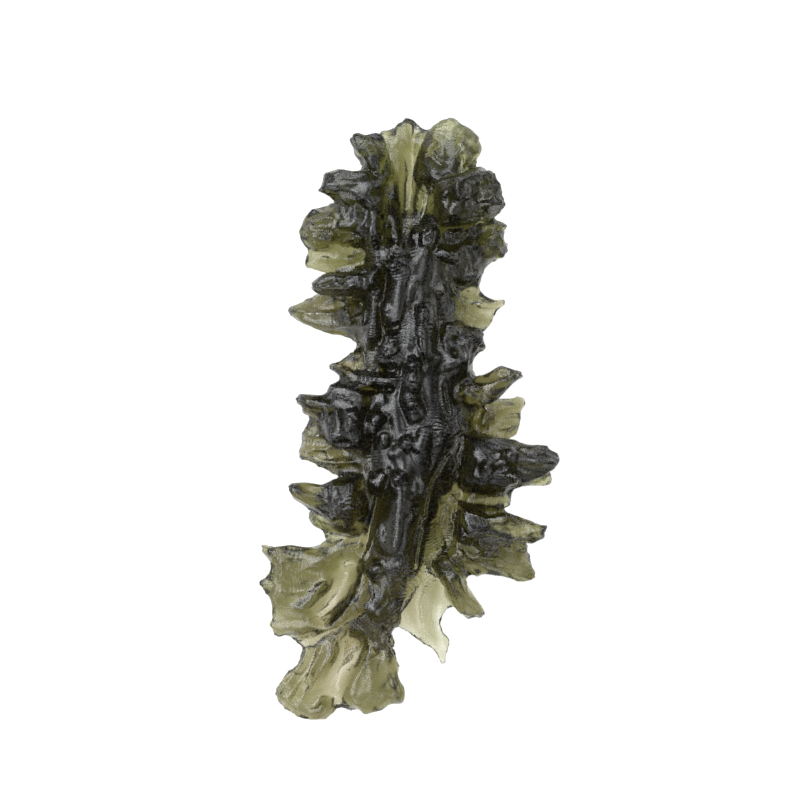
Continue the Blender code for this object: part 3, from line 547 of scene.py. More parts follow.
def gap_to_line(spots, line):
    """Plan distance from each spot to a run of points."""
    best = np.full(len(spots), VERY_FAR)
    line = np.asarray(line, dtype=np.float64)
    for start, end in zip(line, line[1:]):
        best = np.minimum(best, np.linalg.norm(from_piece(spots, start, end)[0], axis=1))
    return best


def gap_to_rim(spots, outline):
    return gap_to_line(spots[:, :2], outline + outline[:1])


# %% Shape the spine
THINNEST_HALF = 0.18


def spine_plate():
    mesh = flat_plate(SPINE_OUTLINE)
    spots = points_of(mesh)
    inside = np.clip(gap_to_rim(spots, SPINE_OUTLINE) / SPINE_ROUNDING, 0, 1)
    half = SPINE_HALF_THICKNESS * (1.0 - (1.0 - inside) ** SPINE_SWELL_POWER)
    half *= np.interp(spots[:, 1], *zip(*SPINE_NARROWING))
    spots[:, 2] = SPINE_MID_HEIGHT + spots[:, 2] * np.maximum(half, THINNEST_HALF)
    put_points(mesh, spots)
    return mesh


# %% Shape the fins
RIM_ROUNDING = 1.3
RIM_SHARE = 0.24                   # thickness left at the very rim
TAPER_POWER = 1.1
RIB_HEIGHT = 0.52
RIB_SHARE = 0.38
UNDERSIDE_SEED_STEP = 9


def root_of(rim):
    return (rim[0] + rim[-1]) / 2


def shrunk(outline, share):
    rim = np.asarray(outline)
    return [tuple(point) for point in root_of(rim) + (rim - root_of(rim)) * share]


def rounded_rise(gap, reach):
    share = np.clip(gap / reach, 0.0, 1.0)
    return np.sqrt(1.0 - (1.0 - share) ** 2)


def fin_plate(seed, outline, root_height, tip_height, root_thick, tip_thick, slope):
    mesh = flat_plate(outline)
    spots = points_of(mesh)
    rim = np.asarray(outline)
    root = root_of(rim)
    tip = max(rim, key=lambda point: float(np.linalg.norm(point - root)))
    reach = tip - root
    across = np.array((reach[1], -reach[0])) / np.linalg.norm(reach)
    along = np.clip(((spots[:, :2] - root) @ reach) / (reach @ reach), 0.0, 1.0)
    thick = tip_thick + (root_thick - tip_thick) * (1.0 - along) ** TAPER_POWER
    swell = rounded_rise(gap_to_rim(spots, outline), RIM_ROUNDING)
    half = thick / 2 * (RIM_SHARE + (1.0 - RIM_SHARE) * swell)
    sideways = (spots[:, :2] - root) @ across
    outward = (spots[:, :2] - root) @ reach / np.linalg.norm(reach)
    side = np.clip(spots[:, 2], -1.0, 1.0)
    middle = root_height + (tip_height - root_height) * along + slope * sideways
    over, under = ribs(sideways, outward, seed), ribs(sideways, outward, seed + UNDERSIDE_SEED_STEP)
    raised = np.minimum(RIB_HEIGHT, RIB_SHARE * 2 * half) * swell
    raised = raised * np.where(side > 0, over, under)
    spots[:, 2] = middle + side * np.maximum(half + raised, THINNEST_HALF)
    put_points(mesh, spots)
    return mesh


# %% Make every plate
LOWER_SEED = 30
plates = [spine_plate()]
drawn = {}
for seed, (name, root_height, tip_height, root_thick, tip_thick, slope, outline) in enumerate(FINS):
    drawn[name] = (outline, slope)
    plates.append(fin_plate(seed, outline, root_height, tip_height, root_thick, tip_thick, slope))
for seed, (name, share, root_height, tip_height, root_thick) in enumerate(LOWER_FINS, LOWER_SEED):
    outline, slope = drawn[name]
    outline = shrunk(outline, share)
    plates.append(fin_plate(seed, outline, root_height, tip_height, root_thick, LOWER_TIP, -slope))
print("plates", len(plates))

# %% [markdown]
# ## Bars on the skin
# Rods of glass stand on the spine where etching ran round them.  They could be pulled up out of the
# skin, but that stretches it thin.  Here each one is a bar laid along the skin with its ends dipping
# in.  The tips that the stone lies on are bars too, pointing down.

# %% Bars on the upper side
# each point: x, y, radius
TOP_RIDGES = (
    ((-2.3, 14.4, 0.45), (-2.35, 13.0, 0.6), (-2.25, 11.6, 0.5), (-1.9, 10.2, 0.4)),
    ((-0.9, 11.5, 0.5), (-0.95, 10.5, 0.7), (-0.9, 9.5, 0.5)),
    ((-2.1, 8.8, 0.5), (-2.3, 7.4, 0.75), (-2.3, 5.8, 0.75), (-2.5, 4.6, 0.5)),
    ((-1.4, 8.5, 0.35), (-1.5, 7.7, 0.5), (-1.6, 6.8, 0.35)),
    ((0.75, 13.3, 0.4), (0.8, 12.4, 0.55), (0.75, 11.5, 0.4)),
    ((1.7, 13.6, 0.3), (1.7, 12.8, 0.45), (1.7, 12.0, 0.3)),
    ((1.9, 11.9, 0.4), (2.5, 11.4, 0.55), (3.7, 11.3, 0.4)),
    ((1.0, 8.2, 0.4), (0.9, 7.2, 0.55), (0.95, 6.2, 0.4)),
    ((2.3, 9.5, 0.3), (2.2, 8.9, 0.4), (2.2, 8.4, 0.3)),
    ((3.4, 6.6, 0.5), (2.8, 6.0, 0.7), (2.4, 5.2, 0.5)),
    ((-1.8, 4.8, 0.6), (-0.9, 5.1, 1.0), (-0.2, 4.8, 0.6)),
    ((0.3, 4.5, 0.5), (0.4, 3.8, 0.7), (0.6, 3.1, 0.45)),
    ((2.1, 5.0, 0.35), (2.0, 4.2, 0.5), (1.6, 3.5, 0.35)),
    ((-5.2, 3.7, 0.3), (-4.2, 3.25, 0.45), (-3.0, 2.85, 0.5), (-1.6, 2.65, 0.45), (-0.2, 2.6, 0.3)),
    ((0.2, 2.8, 0.35), (0.4, 2.3, 0.5), (0.6, 1.8, 0.35)),
    ((0.0, 1.7, 0.4), (0.25, 1.1, 0.55), (0.5, 0.6, 0.4)),
    ((-1.6, 0.9, 0.5), (-2.2, 0.1, 0.7), (-2.4, -1.4, 0.5)),
    ((-4.3, 0.9, 0.4), (-3.9, -0.2, 0.6), (-3.3, -1.9, 0.4)),
    ((1.8, 0.5, 0.4), (2.2, -0.5, 0.65), (2.2, -2.0, 0.5)),
    ((5.8, 1.1, 0.4), (5.4, 0.2, 0.65), (4.9, -0.8, 0.4)),
    ((0.15, -0.7, 0.4), (0.0, -1.5, 0.6), (-0.35, -2.3, 0.4)),
    ((-0.8, -1.5, 0.35), (-0.85, -2.2, 0.5), (-0.95, -3.0, 0.35)),
    ((-1.4, -3.2, 0.5), (-1.9, -4.0, 0.8), (-2.3, -4.8, 0.5)),
    ((-0.2, -3.1, 0.4), (-0.6, -3.9, 0.6), (-0.75, -4.6, 0.4)),
    ((0.5, -3.4, 0.4), (0.8, -4.6, 0.6), (0.9, -5.5, 0.4)),
    ((6.0, -2.1, 0.4), (6.9, -2.3, 0.7), (7.7, -2.45, 0.4)),
    ((5.7, -2.5, 0.4), (5.3, -3.2, 0.55), (5.0, -4.0, 0.4)),
    ((6.4, -3.4, 0.35), (7.2, -3.9, 0.5), (7.9, -4.3, 0.35)),
    ((-3.9, -4.2, 0.5), (-4.0, -5.8, 0.8), (-4.0, -7.6, 0.5)),
    ((0.0, -4.9, 0.4), (0.3, -6.0, 0.5), (0.2, -7.0, 0.4)),
    ((-1.7, -6.2, 0.35), (-1.9, -7.6, 0.5), (-1.7, -9.1, 0.35)),
    ((-2.2, -9.2, 0.6), (-2.1, -10.2, 0.9), (-1.9, -11.2, 0.6)),
    ((-2.2, -11.8, 0.4), (-2.4, -12.8, 0.55), (-2.2, -13.8, 0.4)),
    ((-0.4, -8.8, 0.4), (-0.5, -9.8, 0.5), (-0.5, -10.6, 0.35)),
    ((8.4, -7.4, 0.5), (6.6, -6.8, 0.6), (5.2, -6.6, 0.6)),
    ((6.6, -9.6, 0.5), (5.2, -8.8, 0.7), (4.6, -7.4, 0.6)),
    ((5.4, 15.6, 0.8), (3.6, 15.8, 1.0), (2.0, 15.0, 0.8)),
    ((-3.4, 12.2, 0.5), (-5.2, 12.6, 0.6), (-6.6, 13.0, 0.5)),
    ((-3.6, 16.0, 1.0), (-4.8, 16.4, 0.7)),
    ((-5.6, 7.2, 0.4), (-4.0, 7.4, 0.7), (-3.0, 8.0, 0.5)),
)
print("bars above", len(TOP_RIDGES))

# %% Bars and tips on the underside
BOTTOM_RIDGES = (
    ((0.0, 14.2, 0.5), (-0.8, 12.6, 0.9), (-1.0, 10.8, 1.0), (-0.6, 8.0, 0.9)),
    ((2.6, 13.8, 0.8), (1.8, 11.0, 0.9), (2.0, 8.0, 0.8)),
    ((-2.6, 9.0, 0.7), (-1.8, 5.6, 0.9), (-2.4, 2.4, 0.8)),
    ((0.4, 6.4, 0.9), (1.0, 3.0, 1.0), (0.2, -0.6, 1.0), (0.8, -3.4, 0.8)),
    ((3.4, 4.4, 0.7), (3.0, 1.2, 0.8), (3.6, -2.0, 0.8)),
    ((-3.4, 0.8, 0.8), (-2.4, -2.4, 0.9), (-2.8, -5.6, 0.9)),
    ((2.8, -4.6, 0.9), (2.2, -7.4, 1.0), (0.8, -10.2, 0.8)),
    ((-0.6, -5.6, 1.0), (-1.2, -8.6, 1.0), (-1.9, -11.6, 0.9), (-2.2, -13.0, 0.6)),
)
# each point: x, y, z, radius; the first four of these are the tips the stone lies on
DOWN_SPIKES = (
    ((-1.8, 13.2, 3.8, 1.4), (-2.9, 13.5, 1.9, 0.95), (-3.8, 13.8, -0.6, 0.4)),
    ((2.0, 11.8, 3.8, 1.4), (3.1, 12.1, 1.9, 0.95), (4.1, 12.4, -0.6, 0.4)),
    ((-2.6, -5.6, 3.6, 1.4), (-3.7, -6.0, 1.8, 0.95), (-4.7, -6.4, -0.6, 0.4)),
    ((4.2, -2.6, 3.6, 1.4), (5.3, -2.9, 1.8, 0.95), (6.2, -3.2, -0.6, 0.4)),
    ((-2.0, 6.6, 3.6, 1.2), (-3.0, 6.9, 2.2, 0.8), (-3.8, 7.2, 0.9, 0.35)),
    ((2.4, 3.4, 3.6, 1.2), (3.5, 3.3, 2.2, 0.8), (4.5, 3.2, 0.9, 0.35)),
    ((-1.6, -12.4, 3.6, 1.1), (-1.4, -13.6, 2.4, 0.7), (-1.4, -14.4, 1.3, 0.35)),
)
print("bars below", len(BOTTOM_RIDGES), "tips", len(DOWN_SPIKES))

# %% [markdown]
# ## Fusing
# A voxel remesh turns the heap of overlapping plates into one closed skin.  The bars are laid along
# that skin, and a second, finer remesh fuses them in.  Boolean unions of this many crossing plates
# would leave slivers.

# %% Helpers for fusing
BAR_ROUNDNESS = 3
OUT_OF_THE_STONE = 0.1             # metres above or below, where a probing ray starts


def fused(meshes, voxel):
    heap = bmesh.new()
    for mesh in meshes:
        heap.from_mesh(mesh)
    together = bpy.data.meshes.new("heap")
    heap.to_mesh(together)
    heap.free()
    return remeshed(together, voxel)


def rounded_bar(points, blade):
    curve = bpy.data.curves.new("bar", "CURVE")
    curve.dimensions = "3D"
    curve.bevel_depth = MM
    curve.extrude = blade * MM
    curve.twist_mode = "Z_UP"
    curve.bevel_resolution = BAR_ROUNDNESS
    curve.use_fill_caps = True
    spline = curve.splines.new("POLY")
    spline.points.add(len(points) - 1)
    for point, (x, y, z, radius) in zip(spline.points, points):
        point.co = (x * MM, y * MM, z * MM, 1.0)
        point.radius = radius
    return thrown_away(shown("bar", curve))


def tree_of(mesh):
    body = bmesh.new()
    body.from_mesh(mesh)
    tree = BVHTree.FromBMesh(body)
    body.free()
    return tree


def skin_height(tree, x, y, upward):
    start = Vector((x * MM, y * MM, OUT_OF_THE_STONE if upward else -OUT_OF_THE_STONE))
    hit = tree.ray_cast(start, Vector((0.0, 0.0, -1.0 if upward else 1.0)))[0]
    return hit.z / MM if hit else SPINE_MID_HEIGHT


# %% Lay the bars and fuse
RIDGE_SINK = 0.25
RIDGE_BLADE = 0.35
RIDGE_END_SHARE = 0.45
RIDGE_END_SINK = 0.9
HEAP_VOXEL = 0.20
BODY_VOXEL = 0.13
FUSED_SMOOTHING = (1, 0.4)         # rounds, factor


def ridge(points, tree, upward):
    laid = []
    for place, (x, y, radius) in enumerate(points):
        at_end = place in (0, len(points) - 1)
        sink = radius * (RIDGE_END_SINK if at_end else RIDGE_SINK)
        height = skin_height(tree, x, y, upward) + (-sink if upward else sink)
        laid.append((x, y, height, radius * (RIDGE_END_SHARE if at_end else 1.0)))
    return rounded_bar(laid, RIDGE_BLADE)


def smoothed(mesh, rounds, factor):
    return modified(mesh, "SMOOTH", factor=factor, iterations=rounds)


plain = fused(plates, HEAP_VOXEL)
tree = tree_of(plain)
extras = [ridge(points, tree, True) for points in TOP_RIDGES]
extras += [ridge(points, tree, False) for points in BOTTOM_RIDGES]
extras += [rounded_bar(points, 0.0) for points in DOWN_SPIKES]
skin = smoothed(fused([plain] + extras, BODY_VOXEL), *FUSED_SMOOTHING)
print("fused skin", len(skin.vertices), "points")

# %% [markdown]
# ## Ridges and grooves on the upper side
# Every stone is etched in its own way, so the ridges and grooves that can be made out are drawn one
# by one as strokes: a half width, a height (below zero for a groove) and a run of points.

# %% Strokes on the crown
CROWN = (
    (1.2, -0.8, ((0.3, 19.6), (0.0, 17.6), (-0.1, 15.6), (-0.3, 13.4))),
    (0.25, 0.35, ((0, 20.9), (-0.05, 19), (0, 17.5), (-0.05, 16.6))),
    (0.22, 0.3, ((-0.75, 20.6), (-0.6, 19.4), (-0.5, 18), (-0.7, 16.5))),
    (0.22, 0.3, ((-1.5, 20.1), (-1.1, 18.8), (-0.9, 17.4))),
    (0.2, 0.28, ((0.7, 20.1), (0.5, 18.6), (0.45, 17.2))),
    (0.2, 0.25, ((1.0, 19.0), (1.0, 17.8))),
    (0.65, -0.3, ((0.35, 21.0), (0.45, 20.2), (0.8, 19.6))),
    (0.2, 0.3, ((2.3, 20.7), (2.5, 19.6))),
    (0.22, 0.3, ((3.2, 20.9), (2.9, 19.4))),
    (0.22, 0.3, ((4.0, 20.2), (3.3, 18.9))),
    (0.22, 0.3, ((4.8, 19.5), (3.8, 18.4))),
    (0.22, 0.3, ((5.1, 18.7), (4.0, 18))),
    (0.25, -0.45, ((4.7, 17.9), (3.7, 17.4))),
    (0.2, 0.4, ((-2.4, 13.9), (-2.2, 14.5), (-1.8, 14.9), (-1.4, 15.1))),
    (0.25, -0.3, ((-1.9, 14.5), (-1.8, 13.7), (-1.5, 13), (-1.3, 12.2))),
    (0.22, 0.45, ((2.1, 15.2), (2.7, 15.8), (3.3, 16.4), (3.9, 16.7), (4.5, 16.9))),
    (0.2, 0.35, ((3.0, 15.6), (3.3, 16.3))),
    (0.2, 0.35, ((2.6, 14.6), (3.2, 13.8))),
    (0.2, 0.35, ((3.5, 14.8), (4.1, 14.2))),
    (0.16, 0.3, ((5.1, 15.2), (5.3, 15.55), (5.7, 15.5), (5.85, 15.1), (5.5, 14.8), (5.15, 14.95))),
    (0.2, 0.4, ((1.4, 16.3), (1.7, 16.1))),
    (0.22, 0.4, ((1.75, 15.6), (1.8, 15.4))),
    (0.22, 0.4, ((1.7, 15.0), (1.7, 14.8))),
    (0.35, -0.8, ((2.2, 13.4), (3.2, 13.2), (4.2, 13.6), (5.6, 14.1))),
    (0.45, -0.5, ((1.4, 18.6), (1.9, 17.8), (2.6, 17.3))),
    (0.4, 0.3, ((1.5, 19.3), (1.7, 18.7))),
)
print("strokes on the crown", len(CROWN))

# %% Strokes on the upper half
UPPER = (
    (0.2, -0.35, ((-0.3, 13.4), (-0.4, 12.4), (-0.7, 11.8))),
    (0.18, -0.3, ((0.1, 13.2), (0.1, 12.2))),
    (0.2, 0.35, ((0.0, 14.6), (0.3, 14.2), (0.5, 13.7))),
    (0.4, 0.35, ((-0.4, 11.3), (-0.35, 10.8))),
    (0.45, 0.6, ((-0.9, 11.3), (-0.9, 10.7), (-1.0, 10), (-0.9, 9.8))),
    (0.12, 0.25, ((1.9, 11.05), (2.4, 10.75), (3.0, 10.4))),
    (0.35, 0.5, ((1.9, 11.8), (2.5, 11.4), (3.1, 11.2), (3.7, 11.3))),
    (0.22, 0.35, ((2.7, 11.9), (3.2, 11.7))),
    (0.18, 0.4, ((-4.2, 11), (-3.5, 11.3), (-2.8, 11.7))),
    (0.3, -0.6, ((-2.9, 13.2), (-2.8, 12.2), (-2.6, 11.6))),
    (0.3, 0.45, ((-4.0, 14.2), (-3.4, 14.1), (-3.0, 14), (-2.7, 13.5))),
    (0.3, 0.4, ((-4.9, 13.2), (-4.5, 13.5), (-4.0, 13.4), (-3.4, 13.3))),
    (0.25, -0.6, ((-5.2, 12.9), (-4.3, 12.95), (-3.4, 12.9))),
    (0.2, 0.35, ((-3.9, 12.3), (-3.0, 12.4))),
    (0.22, -0.5, ((-4.4, 12.6), (-3.1, 12.7))),
    (0.25, -0.6, ((-2.65, 8.4), (-2.75, 7.4), (-2.9, 6.5))),
    (0.22, -0.6, ((-1.9, 8.6), (-1.9, 7), (-1.75, 6))),
    (0.5, -0.7, ((-1.7, 6.2), (-0.9, 6.3), (-0.3, 6.6))),
    (1.05, 0.32, ((-1.4, 4.8), (-0.9, 5.4), (-0.6, 5.9))),
    (0.15, -0.7, ((2.5, 8.15), (2.6, 8.15))),
    (0.16, -0.6, ((2.3, 9.7), (2.8, 8.7), (3.4, 8.0), (4.0, 7.1))),
    (0.16, 0.35, ((2.6, 9.9), (3.1, 8.9), (3.7, 8.2), (4.3, 7.3))),
    (0.42, -1.1, ((3.1, 4.7), (3.2, 4.6))),
    (0.2, -0.6, ((0.55, 6.2), (0.6, 5.2), (1.0, 4.4), (1.1, 3.2))),
)
print("strokes on the upper half", len(UPPER))

# %% Strokes on the middle
MIDDLE = (
    (0.38, 0.5, ((-5.4, 3.85), (-4.6, 3.55), (-3.6, 3.1), (-2.6, 2.85), (-1.4, 2.7), (-0.3, 2.6))),
    (0.5, -0.9, ((-2.0, 3.4), (-1.3, 3.5), (-0.6, 3.5))),
    (0.35, -0.8, ((-3.6, 2.1), (-2.4, 2.1), (-0.6, 2.2))),
    (0.22, -0.95, ((0.8, 2.9), (0.85, 2.2), (1.05, 1.5), (1.3, 0.8), (1.3, 0))),
    (0.4, 0.6, ((2.1, -0.5), (2.2, -1.2), (2.2, -1.8))),
    (0.25, -0.8, ((2.5, -1.2), (3.1, -1.2), (4.0, -0.6))),
    (0.3, -0.95, ((2.6, -1.4), (2.4, -2.2), (2.0, -3), (1.7, -3.8))),
    (0.45, 0.7, ((-1.7, 0.7), (-2.2, 0.1), (-2.4, -0.6), (-2.4, -1.2))),
    (0.35, 0.6, ((-4.3, 0.7), (-4.1, 0.2), (-3.8, -0.4), (-3.6, -1), (-3.3, -1.8))),
    (0.2, 0.3, ((-4.6, 0.8), (-4.2, 0.75))),
    (0.6, -0.4, ((-4.9, 1.2), (-4.8, 0), (-4.7, -1.2))),
    (0.28, -0.7, ((-2.7, -1.6), (-2.2, -1.7), (-1.6, -1.5))),
    (0.35, 0.5, ((0.1, -0.9), (0.0, -1.6), (-0.3, -2.1))),
    (0.25, -0.45, ((2.4, 2.9), (2.5, 1.6), (2.9, 0.2))),
    (0.22, -0.4, ((3.3, 2.6), (3.1, 1.4))),
    (0.14, 0.35, ((4.3, 1.9), (4.3, 1.1))),
    (0.18, 0.35, ((4.5, 2.4), (4.9, 2))),
    (0.25, 0.4, ((3.2, -1.5), (3.4, -2), (3.7, -2.3))),
    (0.4, 0.6, ((5.7, 0.9), (5.4, 0.2), (5.0, -0.6))),
    (0.25, -0.7, ((6.2, 0.2), (5.6, -0.1), (5.2, -0.8), (4.8, -1.2))),
    (0.3, 0.5, ((5.6, -2.7), (5.3, -3.2), (5.1, -3.8))),
    (0.35, 0.5, ((6.2, -2.2), (6.9, -2.3), (7.5, -2.4))),
    (0.35, -0.95, ((7.05, -3.1), (7.2, -3.1))),
    (0.25, 0.4, ((6.6, -3.5), (7.2, -3.9), (7.7, -4.2))),
    (0.22, 0.4, ((5.0, -2.6), (4.85, -3))),
    (0.35, 0.5, ((-0.3, -3.3), (-0.6, -3.9), (-0.7, -4.4))),
    (0.28, -0.65, ((-1.3, -2.9), (-1.2, -3.6), (-1.4, -4.4), (-1.5, -4.9))),
    (0.5, 0.4, ((-1.6, -3.4), (-2.0, -4.1), (-2.2, -4.6))),
    (0.35, -1.3, ((-2.5, -5.2), (-1.9, -5.3), (-1.2, -5.1), (-0.7, -5.2))),
)
print("strokes on the middle", len(MIDDLE))

# %% Broad rods and the grooves between them
RODS = (
    (0.5, 0.8, ((-2.0, 14.6), (-2.5, 13.0), (-1.8, 11.5), (-2.15, 9.5), (-2.3, 7.6), (-2.4, 6.0),
                  (-2.55, 4.8))),
    (0.5, 0.8, ((1.15, 8.5), (1.2, 7.0), (1.15, 5.4), (1.05, 3.8))),
    (0.48, 0.75, ((0.3, 4.9), (0.42, 3.6), (0.25, 2.4), (0.1, 1.4), (0.5, 0.4), (0.85, -0.3))),
    (0.38, 0.6, ((-0.95, 13.5), (-0.85, 12.6), (-0.7, 11.6))),
    (0.45, 0.65, ((1.4, 13.5), (1.45, 12.6), (1.4, 11.7))),
    (0.6, 0.45, ((-0.8, 11.2), (-0.75, 9.4), (-1.0, 7.6), (-1.4, 6.0))),
    (0.22, 0.45, ((0.45, 9.6), (0.2, 8.8), (0.0, 8.0))),
    (0.65, 0.45, ((-1.8, 3.5), (-1.1, 4.2), (-0.4, 4.9))),
    (0.45, 0.7, ((-3.95, 1.1), (-3.6, -0.4), (-3.2, -2.0))),
    (0.5, 0.55, ((-1.7, -0.7), (-1.8, -1.9))),
    (0.45, 0.65, ((1.4, -0.2), (1.1, -1.2), (0.8, -2.4))),
    (0.85, 0.5, ((-0.2, -3.6), (-0.6, -5.6), (-0.9, -7.6), (-1.2, -9.6))),
    (0.5, 0.55, ((-0.7, -3.4), (-1.3, -4.6))),
    (0.38, -0.55, ((4.0, -0.6), (2.6, -2.3), (1.5, -4.1), (0.9, -6.0), (0.45, -7.9), (0.2, -10.9))),
    (0.38, -0.5, ((-1.1, -3.3), (-2.0, -5.2), (-2.65, -7.9), (-3.3, -10.0))),
)
print("broad rods and the grooves between them", len(RODS))

# %% Strokes on the lower half
LOWER = (
    (0.32, -0.8, ((1.3, -4.8), (1.1, -6.0), (1.0, -7.0))),
    (0.3, -0.5, ((1.0, -6.8), (0.7, -8.2), (0.5, -9.4), (0.4, -10.6))),
    (0.25, 0.5, ((-1.7, -6.4), (-1.9, -7.2), (-1.9, -8.2), (-1.7, -8.9))),
    (0.25, -0.6, ((-2.2, -6.6), (-2.5, -7.4), (-2.7, -8.2))),
    (0.3, 0.45, ((-0.4, -9), (-0.5, -10.3))),
    (0.28, 0.4, ((-1.3, -8.5), (-1.0, -8.9))),
    (0.25, 0.4, ((-1.5, -9.7), (-1.2, -9.7))),
    (0.8, 0.3, ((-2.2, -9.4), (-1.9, -10.6))),
    (0.25, 0.4, ((-2.2, -12), (-2.4, -12.8), (-2.2, -13.6))),
    (0.22, 0.35, ((-3.4, -12.2), (-3.3, -13))),
    (0.28, -0.7, ((-3.2, -13.3), (-3.3, -13.4))),
    (0.2, -0.8, ((-3.0, -7.6), (-3.1, -9), (-3.25, -10.2), (-3.6, -11.4), (-4.4, -12.4))),
    (1.3, -1.6, ((-3.8, -8.6), (-4.1, -10.2), (-4.7, -11.7), (-5.6, -13.1), (-6.9, -14.5))),
    (0.95, 0.45, ((-4.5, -3.2), (-4.3, -4.6), (-4.1, -6.2), (-4.2, -7.9))),
    (0.1, -0.35, ((1.8, -6.8), (2.6, -7.9), (3.4, -9), (3.9, -9.9))),
    (0.1, -0.35, ((1.5, -8.6), (2.3, -9.4), (2.8, -10.2))),
    (0.1, -0.3, ((1.9, -6.6), (2.4, -7.2))),
    (0.12, 0.3, ((3.0, -9.5), (3.1, -9.25), (3.35, -9.15), (3.6, -9.35), (3.65, -9.7))),
    (0.12, 0.3, ((2.7, -9.6), (2.85, -9.15), (3.2, -8.85), (3.7, -8.95), (4.0, -9.4))),
    (0.25, 0.4, ((3.0, -6.7), (3.7, -6.7))),
    (0.35, -0.9, ((1.9, -7.2), (2.2, -8.0), (2.5, -9.0))),
    (0.15, 0.4, ((2.7, -10.6), (3.2, -11.6), (3.6, -12.6), (3.7, -13.3))),
    (0.3, 0.25, ((1.9, -10.8), (1.3, -12.4), (1.3, -13.8), (1.9, -15.2))),
    (0.22, -0.3, ((1.0, -11.4), (0.6, -12.6), (0.7, -13.8), (1.1, -14.6))),
    (0.25, 0.25, ((0.2, -12.2), (-0.1, -13.2), (0.3, -14.2))),
    (0.35, -0.25, ((2.2, -12.0), (2.0, -13.4), (2.2, -15.4), (2.5, -16.6))),
    (1.2, -1.6, ((-3.3, -14.0), (-4.1, -16.5), (-4.7, -17.9), (-5.6, -20.2))),
    (0.15, 0.5, ((-4.9, -16), (-5.4, -17.5), (-5.8, -18.7))),
    (0.25, 0.45, ((-8.6, -19.2), (-7.6, -19.9), (-6.8, -20.2), (-6.0, -20.0), (-5.6, -19.2))),
    (0.22, 0.4, ((-6.8, -15.8), (-7.4, -16.8), (-7.9, -17.8), (-8.4, -18.6))),
    (0.22, 0.35, ((-5.9, -15.4), (-6.5, -17.0), (-7.0, -18.6))),
    (0.2, 0.35, ((-2.6, -15.6), (-2.4, -17.4), (-2.5, -19.0))),
    (0.2, 0.35, ((-1.7, -15.6), (-1.2, -17.2), (-0.7, -18.6))),
    (0.16, 0.35, ((-8.65, -9.5), (-8.5, -10.0), (-8.65, -10.5), (-9.0, -11))),
    (0.28, -0.7, ((-9.25, -9.7), (-9.2, -10.8))),
)
print("strokes on the lower half", len(LOWER))

# %% Strokes on the left fins
LEFT = (
    (0.12, -0.45, ((-5.8, 13.9), (-5.1, 13.75))),
    (0.16, -0.45, ((-6.8, 13.4), (-4.8, 13.6))),
    (0.16, 0.35, ((-7.0, 13.15), (-5.0, 13.1))),
    (0.16, -0.45, ((-7.4, 12.9), (-5.9, 12.8), (-4.4, 12.85))),
    (0.14, 0.3, ((-5.9, 12.3), (-5.6, 12.6), (-5.2, 12.6), (-5.0, 12.3))),
    (0.18, 0.3, ((-6.8, 11.9), (-5.0, 11.7), (-4.3, 11.5))),
    (0.16, 0.25, ((-6.0, 11.3), (-5.7, 11.1), (-5.4, 11.25))),
    (0.2, 0.35, ((-4.8, 9.9), (-4.4, 9.3))),
    (0.18, 0.35, ((-3.95, 9.95), (-3.85, 9.95))),
    (0.18, 0.35, ((-3.35, 10.0), (-3.25, 10.0))),
    (0.18, 0.35, ((-2.95, 10.2), (-2.85, 10.2))),
    (0.2, 0.4, ((-7.7, 6.95), (-6.8, 6.7), (-5.0, 6.2))),
    (0.18, 0.45, ((-4.3, 6.4), (-3.3, 7.2), (-3.1, 7.5))),
    (0.45, -1.1, ((-4.1, 8.3), (-3.5, 8.4), (-3.0, 8.5))),
    (0.2, 0.45, ((-5.2, 3.9), (-4.4, 3.6), (-4.0, 3.5))),
    (0.16, 0.4, ((-3.4, 4.0), (-3.25, 3.6), (-3.3, 3.0))),
    (0.18, 0.4, ((-3.7, 5.4), (-3.3, 4.4))),
    (0.22, 0.35, ((-5.6, 1.7), (-5.5, 0.6), (-5.6, -0.4), (-5.4, -1.2))),
    (0.18, 0.4, ((-7.3, 0.7), (-6.4, 0.4), (-6.1, -0.1), (-5.9, -0.9))),
    (0.16, 0.35, ((-5.1, 1.75), (-4.5, 1.7), (-4.0, 1.4))),
    (0.2, 0.4, ((-7.7, -2.4), (-6.6, -2.7), (-5.6, -2.9), (-4.6, -2.9))),
    (0.16, -0.4, ((-6.4, -3.1), (-4.6, -3.2))),
)
print("strokes on the left fins", len(LEFT))

# %% All strokes
STROKES = CROWN + UPPER + MIDDLE + RODS + LOWER + LEFT
print("strokes", len(STROKES))

# %% [markdown]
# ## Drawing the strokes
# A stroke lifts or sinks the skin straight up and down, highest on its middle line.  Height is
# limited by width, because a narrow tall ridge looks like crumpled foil and not like glass.  Between
# the strokes, rounded ridges lie side by side along the spine as fingers do, with clefts between.

# %% Normals and thickness
UNKNOWN_THICKNESS = 9.0
RAY_START = 2e-5                   # metres under the skin


def normals_of(mesh):
    flat = np.empty(len(mesh.vertices) * 3, dtype=np.float32)
    mesh.vertex_normals.foreach_get("vector", flat)
    return flat.reshape(-1, 3).astype(np.float64)


def thickness_of(mesh, spots, normals):
    """Glass under each point, straight down its own normal, in millimetres."""
    tree = tree_of(mesh)
    found = np.full(len(spots), UNKNOWN_THICKNESS)
    for place, (spot, normal) in enumerate(zip(spots, normals)):
        inward = Vector(-normal)
        distance = tree.ray_cast(Vector(spot * MM) + inward * RAY_START, inward)[3]
        if distance:
            found[place] = distance / MM
    return found


def eased(values, low, high):
    share = np.clip((values - low) / (high - low), 0.0, 1.0)
    return share * share * (3.0 - 2.0 * share)


# %% One stroke
END_FADE = 0.18
END_LEAST = 0.25
NEVER_FADED = 0.3                  # dots shorter than this keep their ends
KNOB_SPACING = 0.30
KNOB_SHARE = 0.16
RIDGE_WIDENING = 1.50
RIDGE_STEEPNESS = 0.62             # tallest ridge for its half width
BROAD_ROD = 0.65                   # narrower ridges stand lower still
GROOVE_STEEPNESS = 1.8


